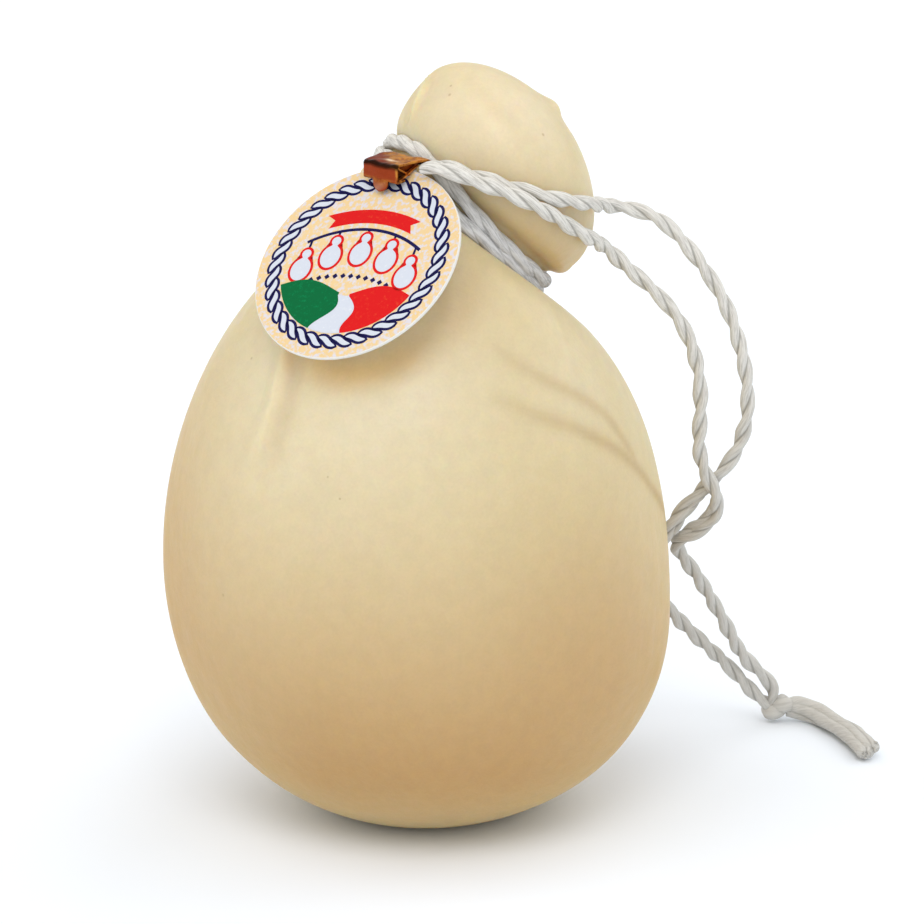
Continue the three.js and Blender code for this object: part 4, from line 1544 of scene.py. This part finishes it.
@dataclass
class Tag:
    """Round card tag with a rope ring and a plain landscape print."""

    finish: CardFinish = field(default_factory=CardFinish)
    edge: InkFinish = InkFinish("bare_card", linear(226, 224, 218), linear(214, 210, 203), 0.7)
    radius: float = 29.5
    thickness: float = 1.0
    edge_round: float = 0.22
    sides: int = 160
    centre: Triple = (-16.8, -39.5, 161.6)
    normal: Triple = (-0.419, -0.587, 0.693)
    upward: Triple = (0.3376, 0.6076, 0.7189)
    rope_radius: float = 24.4
    rope_count: int = 37
    rope_turn: float = -24.0
    rope_length: float = 6.2
    rope_width: float = 1.5
    rope_outline: float = 0.78
    rope_bend: float = 0.3
    rope_blunt: float = 0.7
    rope_sides: int = 256
    picture_radius: float = 21.9
    arch_middle: Span = (0.0, -22.0)
    ribbon_radii: Span = (34.0, 38.2)
    ribbon_half: float = 22.0
    fork_half: float = 19.0
    rail_radius: float = 31.6
    rail_width: float = 0.9
    rail_half: float = 33.0
    pear_size: float = 9.6
    pear_outline: float = 0.75
    hung_count: int = 5
    hung_radius: float = 24.6
    hung_half: float = 41.0
    hung_lift: float = 1.3
    cord_half: float = 0.35
    cord_overlap: float = 0.2
    lozenge_count: int = 11
    lozenge_size: float = 0.85
    lozenge_radius: float = 36.0
    lozenge_half: float = 19.0
    lozenge_middle: Span = (0.0, -40.4)
    road_top: float = -10.4
    road_length: float = 14.0
    road_swing: float = 1.9
    road_edges: tuple[Span, Span] = ((-1.4, -4.2), (2.0, 4.4))
    hill_end: float = 24.0
    hill_crest: float = 12.0
    hill_rate: float = 0.19
    hill_levels: tuple[Span, Span] = ((-8.6, 2.2), (-9.0, 2.4))
    layer: float = 0.025
    sink: float = 0.05
    inks: dict[Ink, InkFinish] = field(
        default_factory=lambda: {
            Ink.NAVY: InkFinish("navy_ink", linear(24, 22, 74), linear(40, 38, 96)),
            Ink.RED: InkFinish("red_ink", linear(210, 24, 26), linear(214, 60, 38)),
            Ink.GREEN: InkFinish("green_ink", linear(0, 100, 54), linear(8, 128, 74)),
            Ink.WHITE: InkFinish("white_ink", linear(203, 208, 218), linear(214, 217, 223)),
        }
    )

    def place(self) -> Place:
        """The tag's axes: right, up and out of its face."""
        out = unit(self.normal)
        up = unit(np.array(self.upward) - out * np.dot(self.upward, out))
        return Place(np.array(self.centre), np.cross(up, out), up, out)

    def card(self) -> bpy.types.Object:
        """Card disc with a soft edge: face first, then the bare edge and back."""
        half, soft, count = self.thickness / 2, self.edge_round, self.sides
        upper = [(self.radius, half - soft)]
        upper += [(self.radius - soft / 3, half - soft / 3), (self.radius - soft, half)]
        profile = [(r, -h) for r, h in reversed(upper)] + upper
        turn = arc(1, 0, 360 - 360 / count, count)
        rings = [np.column_stack([turn * r, np.full(count, h)]) for r, h in profile]
        points = np.vstack([*rings, [(0, 0, -half), (0, 0, half)]])
        back, front = len(points) - 2, len(points) - 1
        last = (len(profile) - 1) * count
        faces = [[front, last + i, last + (i + 1) % count] for i in range(count)]
        faces += [[back, (i + 1) % count, i] for i in range(count)]
        for ring in range(len(profile) - 1):
            faces += between_rings(ring * count, count)
        piece = new_piece("tag_card", self.place().world(points), faces)
        bare = np.zeros(len(faces), dtype=np.int32)
        bare[count:] = 1
        piece.data.polygons.foreach_set("material_index", bare)
        piece.data.polygons.foreach_set("use_smooth", np.arange(len(faces)) >= 2 * count)
        return piece

    def rope_strand(self, margin: float) -> np.ndarray:
        """Outline of one strand of the rope ring, grown by a margin."""
        part = np.linspace(-1, 1, 15)
        bend = -self.rope_bend * np.sin(math.pi * part)
        half = 0.5 * self.rope_width * (1 - part**2) ** self.rope_blunt
        along = part * self.rope_length / 2
        lower = np.stack([along, bend - half], axis=1)
        upper = np.stack([along, bend + half], axis=1)[::-1]
        outline = np.vstack([lower, upper[1:-1]])
        return grown(outline, margin) if margin else outline

    def pear(self, across: float, up: float, size: float) -> np.ndarray:
        """Outline of a small tied cheese."""
        rise = -np.cos(np.linspace(0, math.pi, 60))
        width = 0.15 * (np.abs(rise - 0.45) < 0.12)
        for half, middle, reach in ((0.6, -0.28, 0.72), (0.28, 0.72, 0.28)):
            oval = half * np.sqrt(np.clip(1 - ((rise - middle) / reach) ** 2, 0, None))
            width = np.maximum(width, oval)
        width[1:-1] = (width[:-2] + 2 * width[1:-1] + width[2:]) / 4
        right = np.stack([width, rise], axis=1)
        left = (right * (-1, 1))[::-1][1:-1]
        return np.vstack([right, left]) * size / 2 + (across, up)

    def ribbon(self) -> np.ndarray:
        """Outline of an arched ribbon with forked ends."""
        inner, outer = self.ribbon_radii
        band = arched_band(self.arch_middle, inner, outer, self.ribbon_half)
        upper, lower = np.split(band, 2)
        forks = fan((inner + outer) / 2, self.fork_half, 2, self.arch_middle)
        return np.vstack([upper, forks[:1], lower, forks[1:]])

    def fields(self) -> dict[Ink, list[np.ndarray]]:
        """Outlines of the print, ink by ink: ribbon, cheeses on a rail, lozenges, hills and a road."""
        green, red, road = self.landscape()
        low_middle = (0.0, self.arch_middle[1] + self.hung_lift)
        hung = fan(self.hung_radius, self.hung_half, self.hung_count, low_middle)
        cheeses = [self.pear(across, up, self.pear_size) for across, up in hung]
        rail_top = self.rail_radius + self.rail_width
        rail = arched_band(self.arch_middle, self.rail_radius, rail_top, self.rail_half)
        cords = []
        for u, v in hung:
            low = v + self.pear_size / 2
            high = self.arch_middle[1] + math.sqrt(self.rail_radius**2 - u**2) + self.cord_overlap
            left, right = u - self.cord_half, u + self.cord_half
            cords.append(np.array([(left, low), (right, low), (right, high), (left, high)]))
        spots = fan(self.lozenge_radius, self.lozenge_half, self.lozenge_count, self.lozenge_middle)
        lozenge = np.array([(-1, 0), (0, -1), (1, 0), (0, 1)]) * self.lozenge_size
        return {
            Ink.NAVY: [rail, *cords, *(spot + lozenge for spot in spots)],
            Ink.RED: [self.ribbon(), red, *(grown(cheese, self.pear_outline) for cheese in cheeses)],
            Ink.GREEN: [green],
            Ink.WHITE: [road, *cheeses],
        }

    def landscape(self) -> tuple[np.ndarray, np.ndarray, np.ndarray]:
        """Outlines of the left hill, the right hill and the road between them."""
        down = np.linspace(0, 1, 40)
        drop = self.road_top - self.road_length * down
        swing = self.road_swing * np.sin(TAU * down)
        roads, hills = [], []
        for side, (near, spread), (level, height) in zip((-1, 1), self.road_edges, self.hill_levels):
            road = self.within(np.stack([near + spread * down + swing, drop], axis=1))
            across = np.linspace(*sorted((road[0, 0], side * self.hill_end)), 40)
            rise = level + height * np.cos((across - side * self.hill_crest) * self.hill_rate)
            roads.append(road)
            hills.append(self.within(np.stack([across, rise], axis=1)))
        (left_road, right_road), (left_hill, right_hill) = roads, hills
        green = np.vstack([left_hill[::-1], self.rim(left_hill[0], left_road[-1]), left_road[::-1]])
        red = np.vstack([right_road, self.rim(right_road[-1], right_hill[-1]), right_hill[::-1]])
        road = np.vstack([left_road, self.rim(left_road[-1], right_road[-1]), right_road[::-1]])
        return green, red, road

    def within(self, line: np.ndarray) -> np.ndarray:
        """Points of a line that lie inside the picture."""
        return line[np.linalg.norm(line, axis=1) < self.picture_radius]

    def rim(self, start: np.ndarray, end: np.ndarray) -> np.ndarray:
        """Points on the picture's edge, counter-clockwise from beside one point to beside another."""
        first, last = (math.degrees(math.atan2(point[1], point[0])) % 360 for point in (start, end))
        return arc(self.picture_radius, first, last, 30)

    def rope_recipe(self) -> Recipe:
        """Tree that sets copies of a strand round a circle, each turned to it."""
        recipe = Recipe("rope_ring", ("Radius", "Count", "Turn"))
        graph = recipe.graph
        inputs = {"Resolution": self.rope_sides, "Radius": recipe["Radius"]}
        circle = graph.add("GeometryNodeCurvePrimitiveCircle", inputs, mode="RADIUS").outputs["Curve"]
        inputs = {"Curve": circle, "Count": recipe["Count"]}
        spots = graph.add("GeometryNodeCurveToPoints", inputs, mode="COUNT")
        inputs = {"Vector": spots.outputs["Tangent"]}
        facing = graph.add("FunctionNodeAlignRotationToVector", inputs, axis="X", pivot_axis="Z")
        inputs = {0: facing.outputs[0], 1: graph.combine(0.0, 0.0, recipe["Turn"])}
        turned = graph.add("FunctionNodeRotateRotation", inputs, rotation_space="LOCAL").outputs[0]
        inputs = {"Points": spots.outputs["Points"], "Instance": recipe["Geometry"], "Rotation": turned}
        recipe.close(graph.add("GeometryNodeInstanceOnPoints", inputs).outputs[0])
        return recipe

    def rope(
        self, recipe: Recipe, ink: Ink, margin: float, top: float, material: bpy.types.Material
    ) -> None:
        """Prints the ring's strands in one ink.

        Args:
            recipe: Tree that repeats a strand.
            ink: Ink of the strands.
            margin: How far they are grown.
            top: Height of the ink's face.
            material: The ink's material.
        """
        half = self.thickness / 2
        points, faces = prisms([self.rope_strand(margin)], half - self.sink, half + top)
        host = new_piece(f"tag_rope_{ink.value}", points, faces)
        numbers = {
            "Radius": self.rope_radius * MM,
            "Count": float(self.rope_count),
            "Turn": math.radians(self.rope_turn),
        }
        self.set_down(recipe.make(host, material, numbers))

    def set_down(self, piece: bpy.types.Object) -> None:
        """Moves a flat print from the drawing plane onto the tag and fixes it there."""
        mesh = piece.data
        local = np.empty(3 * len(mesh.vertices))
        mesh.vertices.foreach_get("co", local)
        mesh.vertices.foreach_set("co", (self.place().world(local.reshape(-1, 3) / MM) * MM).ravel())
        mesh.shade_flat()
        mesh.update()
        settle(piece, Slot.CARD)

    def dress(self) -> None:
        """Builds the card and prints it."""
        card = self.card()
        card.data.materials.append(self.finish.material())
        card.data.materials.append(self.edge.material())
        settle(card, Slot.CARD, "tag")
        recipe = self.rope_recipe()
        half = self.thickness / 2
        for step, (ink, outlines) in enumerate(self.fields().items(), start=1):
            material = self.inks[ink].material()
            points, faces = prisms(outlines, half - self.sink, half + step * self.layer)
            piece = new_piece(f"tag_print_{ink.value}", points, faces)
            piece.data.materials.append(material)
            self.set_down(piece)
            if ink is Ink.NAVY:
                self.rope(recipe, ink, self.rope_outline, step * self.layer, material)
            if ink is Ink.WHITE:
                self.rope(recipe, ink, 0.0, step * self.layer, material)


@dataclass
class Clip:
    """Brass sheet folded over the tag's upper edge, with a round tongue at its front."""

    tag: Tag
    finish: BrassFinish = field(default_factory=BrassFinish)
    reach: float = 28.3
    width: float = 11.2
    front: float = -6.3
    back: float = 4.6
    top: float = 4.1
    floor: float = -0.9
    sheet: float = 0.6
    turn: float = math.radians(48)
    roll: float = math.radians(9)
    floor_end: float = -2.6
    lip_drop: float = 2.0
    tongue_width: float = 5.0
    tongue_drop: float = 2.6
    tongue_offset: float = 0.2
    fold: float = 0.65
    width_steps: int = 18
    line_step: float = 0.4
    tab_sheet: float = 0.4
    soft_edge: float = 0.14
    dent: float = 0.16
    ripple: float = 0.1
    bulge: float = 0.22
    corner_out: float = 2.6
    corner_back: float = 0.5
    tongue_curl: float = 0.06

    def place(self) -> Place:
        """The clip's axes: along its width, toward its back and toward its top."""
        tag = self.tag.place()
        cos, sin = math.cos(self.roll), math.sin(self.roll)
        width = tag.first * cos - tag.second * sin
        rise = tag.second * cos + tag.first * sin
        back = -math.cos(self.turn) * tag.third + math.sin(self.turn) * rise
        top = math.sin(self.turn) * tag.third + math.cos(self.turn) * rise
        return Place(tag.origin + tag.second * self.reach, width, back, top)

    def folded(self, corners: Sequence[Span]) -> np.ndarray:
        """Line through corners with each fold rounded."""
        line = np.asarray(corners, float)
        result = [line[:1]]
        for before, corner, after in zip(line[:-2], line[1:-1], line[2:]):
            arrive, leave = unit(before - corner) * self.fold, unit(after - corner) * self.fold
            part = np.linspace(0, 1, 7)[:, None]
            result.append(corner + arrive * (1 - part) ** 2 + leave * part**2)
        return np.vstack([*result, line[-1:]])

    def strip(
        self, line: np.ndarray, low: float, high: float, sheet: float
    ) -> tuple[np.ndarray, list[list[int]]]:
        """Sheet along a line in the section, between two places across the clip.

        Args:
            line: Middle of the sheet as back and top.
            low, high: Its ends along the clip's width.
            sheet: Its thickness.

        Returns:
            Corners along the clip's axes, and faces.
        """
        ahead = np.gradient(line, axis=0)
        side = np.stack([-ahead[:, 1], ahead[:, 0]], axis=1)
        side *= sheet / 2 / np.linalg.norm(side, axis=1, keepdims=True)
        outline = np.vstack([line + side, (line - side)[::-1]])
        count, steps = len(outline), np.linspace(low, high, self.width_steps)
        points = np.vstack([np.column_stack([np.full(count, w), outline]) for w in steps])
        faces = []
        for step in range(len(steps) - 1):
            base = step * count
            for i in range(count):
                j = (i + 1) % count
                faces.append([base + i, base + count + i, base + count + j, base + j])
        last = (len(steps) - 1) * count
        for i in range(len(line) - 1):
            k = count - 1 - i
            faces.append([i, i + 1, k - 1, k])
            faces.append([last + k, last + k - 1, last + i + 1, last + i])
        return points, faces

    def worn(self, local: np.ndarray) -> np.ndarray:
        """Sheet with slight dents and its far corner drawn out, as handling leaves it."""
        w, b, t = np.moveaxis(local, -1, 0)
        dent = self.dent * np.sin(0.9 * w + 0.7) * np.cos(0.55 * b + 0.3)
        dent += self.ripple * np.sin(1.7 * w - 1.1 * b)
        corner = smoothstep(w, 0.5, 5.6) * smoothstep(b, -1.0, 4.6) * smoothstep(t, 1.5, 4.0)
        height = np.sin(np.clip((t - self.floor) / (self.top - self.floor), 0, 1) * math.pi)
        bulge = self.bulge * np.cos(0.5 * w) * smoothstep(-b, 4.5, 6.0) * height
        across, back = w + self.corner_out * corner, b + self.corner_back * corner - bulge
        return np.stack([across, back, t + dent * smoothstep(t, 2.0, 4.0)], axis=-1)

    def build(self) -> bpy.types.Object:
        """Channel, tongue and the two crossing tabs at the open end, with a leaf behind them painted
        dark for the shade inside.
        """
        inset = self.sheet / 2
        front, back = self.front + inset, self.back - inset
        top, floor = self.top - inset, self.floor + inset
        lip = self.top - self.lip_drop
        corners = [(self.floor_end, floor), (front, floor), (front, top), (back, top), (back, lip)]
        channel = self.folded(corners)
        half = self.width / 2
        inner = half - 0.5
        falling = np.array([(front + 0.7, top - 0.6), (-2.4, 1.6), (0.6, floor + 0.4)])
        rising = np.array([(front + 0.7, floor + 0.6), (-2.2, 0.9), (1.8, top - 1.3)])
        parts = [
            self.strip(even_steps(line, self.line_step), low, high, sheet)
            for line, low, high, sheet in (
                (channel, -half, half, self.sheet),
                (falling, inner - 0.9, inner + 0.3, self.tab_sheet),
                (rising, inner - 0.2, inner + 1.0, self.tab_sheet),
            )
        ]
        # Leaf that only stands for the shade inside the open end, painted dark.
        shade_leaf = [(front + 0.5, floor + 0.3), (back - 0.5, floor + 1.4)]
        shade_leaf += [(back - 0.5, top - 0.4), (front + 0.5, top - 0.4)]
        plate, sides = prisms([np.array(shade_leaf)], inner - 1.5, inner - 1.1)
        parts += [(plate[:, [2, 0, 1]], sides), self.tongue()]
        points, faces, base = [], [], 0
        for block, polygons in parts:
            points.append(block)
            faces += [[base + i for i in polygon] for polygon in polygons]
            base += len(block)
        local = np.vstack(points)
        piece = new_piece("clip_sheet", self.place().world(self.worn(local)), faces)
        keep_fields(piece, self.wear_shade_and_glints(local))
        return beveled(piece, self.soft_edge)

    def wear_shade_and_glints(self, local: np.ndarray) -> dict[str, np.ndarray]:
        """Where the sheet is worn to bare brass, where painted dark shade lies along its top front fold
        and inside it, and where painted glints lie.
        """
        w, b, t = local.T
        half = self.width / 2
        above = smoothstep(t, self.top - 1.0, self.top - 0.4)
        end = 0.9 * smoothstep(w, half - 0.7, half - 0.2)
        hem = 0.75 * np.exp(-(((t - self.floor - 0.2) / 0.55) ** 2)) * smoothstep(-b, 5.0, 6.0)
        bare = np.maximum.reduce([above * smoothstep(w + 1.1 * b, -5.0, -0.5), end, hem])
        # Painted shade: a dark line along the top front fold, and dark inside the channel.
        edge = np.hypot(b - self.front - 0.3, t - self.top + 0.3)
        inside = smoothstep(b, self.front + 0.35, self.front + 0.6)
        inside *= fall(t, self.top - 0.95, self.top - 0.7) * (w < half - 0.6)
        painted_dark = np.maximum(0.97 * np.exp(-((edge / 0.95) ** 4)), inside)
        # Painted glints on the top and on the tongue.
        top_glint = above * np.exp(-(((w - 0.6) / 2.3) ** 2) - ((b + 2.6) / 0.55) ** 2)
        tongue_glint = np.exp(-(((w + 1.0) / 0.8) ** 2) - ((t - self.floor + 1.7) / 0.6) ** 2)
        tongue_glint *= b < self.front + 0.3
        painted_glint = np.maximum(0.95 * top_glint, 0.4 * tongue_glint)
        return {"bare": bare, "painted_dark": painted_dark, "painted_glint": painted_glint}

    def tongue(self) -> tuple[np.ndarray, list[list[int]]]:
        """Half-round tab that hangs from the front wall's lower edge."""
        half = self.tongue_width / 2
        rim = arc(half, 180, 360, 17, (0.0, half - self.tongue_drop))
        outline = np.vstack([rim, [(half, self.sheet), (-half, self.sheet)]])
        flat, faces = prisms([outline], 0.0, self.sheet)
        across, drop, depth = flat.T
        curl = self.tongue_curl * np.clip(-drop, 0, None) ** 2
        back = self.front + self.sheet - depth - curl
        return np.stack([across + self.tongue_offset, back, self.floor + drop], axis=1), faces

    def dress(self) -> None:
        """Builds the clip and gives it its tarnish."""
        piece = self.build()
        piece.data.materials.append(self.finish.material())
        settle(piece, Slot.CLIP, "clip")


@dataclass(frozen=True)
class Lamp:
    """Broad far light: its heading from the right toward the back, its height and spread in degrees."""

    name: str
    heading: float
    elevation: float
    spread: float
    strength: float

    def hang(self) -> None:
        """Puts the light into the scene."""
        data = bpy.data.lights.new(self.name, "SUN")
        data.angle = math.radians(self.spread)
        data.energy = self.strength
        lamp = bpy.data.objects.new(self.name, data)
        flat, height = math.radians(self.heading), math.radians(self.elevation)
        out = math.cos(height)
        stand = Vector((math.cos(flat) * out, math.sin(flat) * out, math.sin(height)))
        lamp.rotation_euler = stand.to_track_quat("Z", "Y").to_euler()
        bpy.context.scene.collection.objects.link(lamp)


@dataclass
class Studio:
    """Camera, white floor and soft lights."""

    target: Triple = (10.256, 24.43, 91.17)
    distance: float = 1200.0
    elevation: float = math.radians(15)
    frame_width: float = 256.13
    sensor: float = 36.0
    floor_half: float = 6000.0
    floor_drop: float = 0.05
    floor_colour: Rgba = (0.9, 0.945, 1.0, 1.0)
    floor_roughness: float = 0.9
    floor_specular: float = 0.1
    surround: float = 0.42
    lamps: tuple[Lamp, ...] = (
        Lamp("key", -92, 52, 28, 0.5),
        Lamp("front", -92, 34, 70, 0.62),
        Lamp("left", -168, 45, 65, 0.78),
        Lamp("overhead", 0, 88, 150, 0.45),
        Lamp("right", -40, 45, 60, 0.36),
        Lamp("right_back", 40, 40, 60, 0.74),
        Lamp("left_back", 135, 40, 60, 0.12),
    )

    def camera(self) -> None:
        """Camera at the portrait's viewing angle."""
        data = bpy.data.cameras.new("portrait")
        data.sensor_width = self.sensor
        data.lens = self.sensor * self.distance / self.frame_width
        camera = bpy.data.objects.new("portrait", data)
        back = Vector((0, -math.cos(self.elevation), math.sin(self.elevation)))
        camera.location = (Vector(self.target) + back * self.distance) * MM
        camera.rotation_euler = (math.pi / 2 - self.elevation, 0, 0)
        bpy.context.scene.collection.objects.link(camera)
        bpy.context.scene.camera = camera

    def floor(self) -> None:
        """Plain white floor."""
        half = self.floor_half
        level = [(-half, -half), (half, -half), (half, half), (-half, half)]
        corners = np.column_stack([np.array(level), np.full(4, -self.floor_drop)])
        piece = new_piece("studio_floor", corners, [(0, 1, 2, 3)])
        material, graph, shader = new_material("white_floor")
        graph.fill(shader, {
            "Base Color": self.floor_colour,
            "Roughness": self.floor_roughness,
            "Specular IOR Level": self.floor_specular,
        })
        piece.data.materials.append(material)

    def light(self) -> None:
        """White surroundings and large soft lights: front, left, overhead and a little from behind."""
        world = bpy.data.worlds.new("studio_white")
        world.use_nodes = True
        background = world.node_tree.nodes["Background"]
        background.inputs["Color"].default_value = (1, 1, 1, 1)
        background.inputs["Strength"].default_value = self.surround
        bpy.context.scene.world = world
        for lamp in self.lamps:
            lamp.hang()
        bpy.context.scene.view_settings.view_transform = "Standard"


def main() -> None:
    """Builds the studio and every piece in order."""
    logging.basicConfig(level=logging.INFO, format="%(name)s: %(message)s")
    studio = Studio()
    studio.camera()
    maker = TwineMaker(TwineFinish())
    FreeTwine(maker).dress()
    cheese = Cheese()
    cheese.dress()
    NeckTie(maker, cheese).dress()
    tag = Tag()
    tag.dress()
    Clip(tag).dress()
    studio.floor()
    studio.light()


if __name__ == "__main__":
    main()
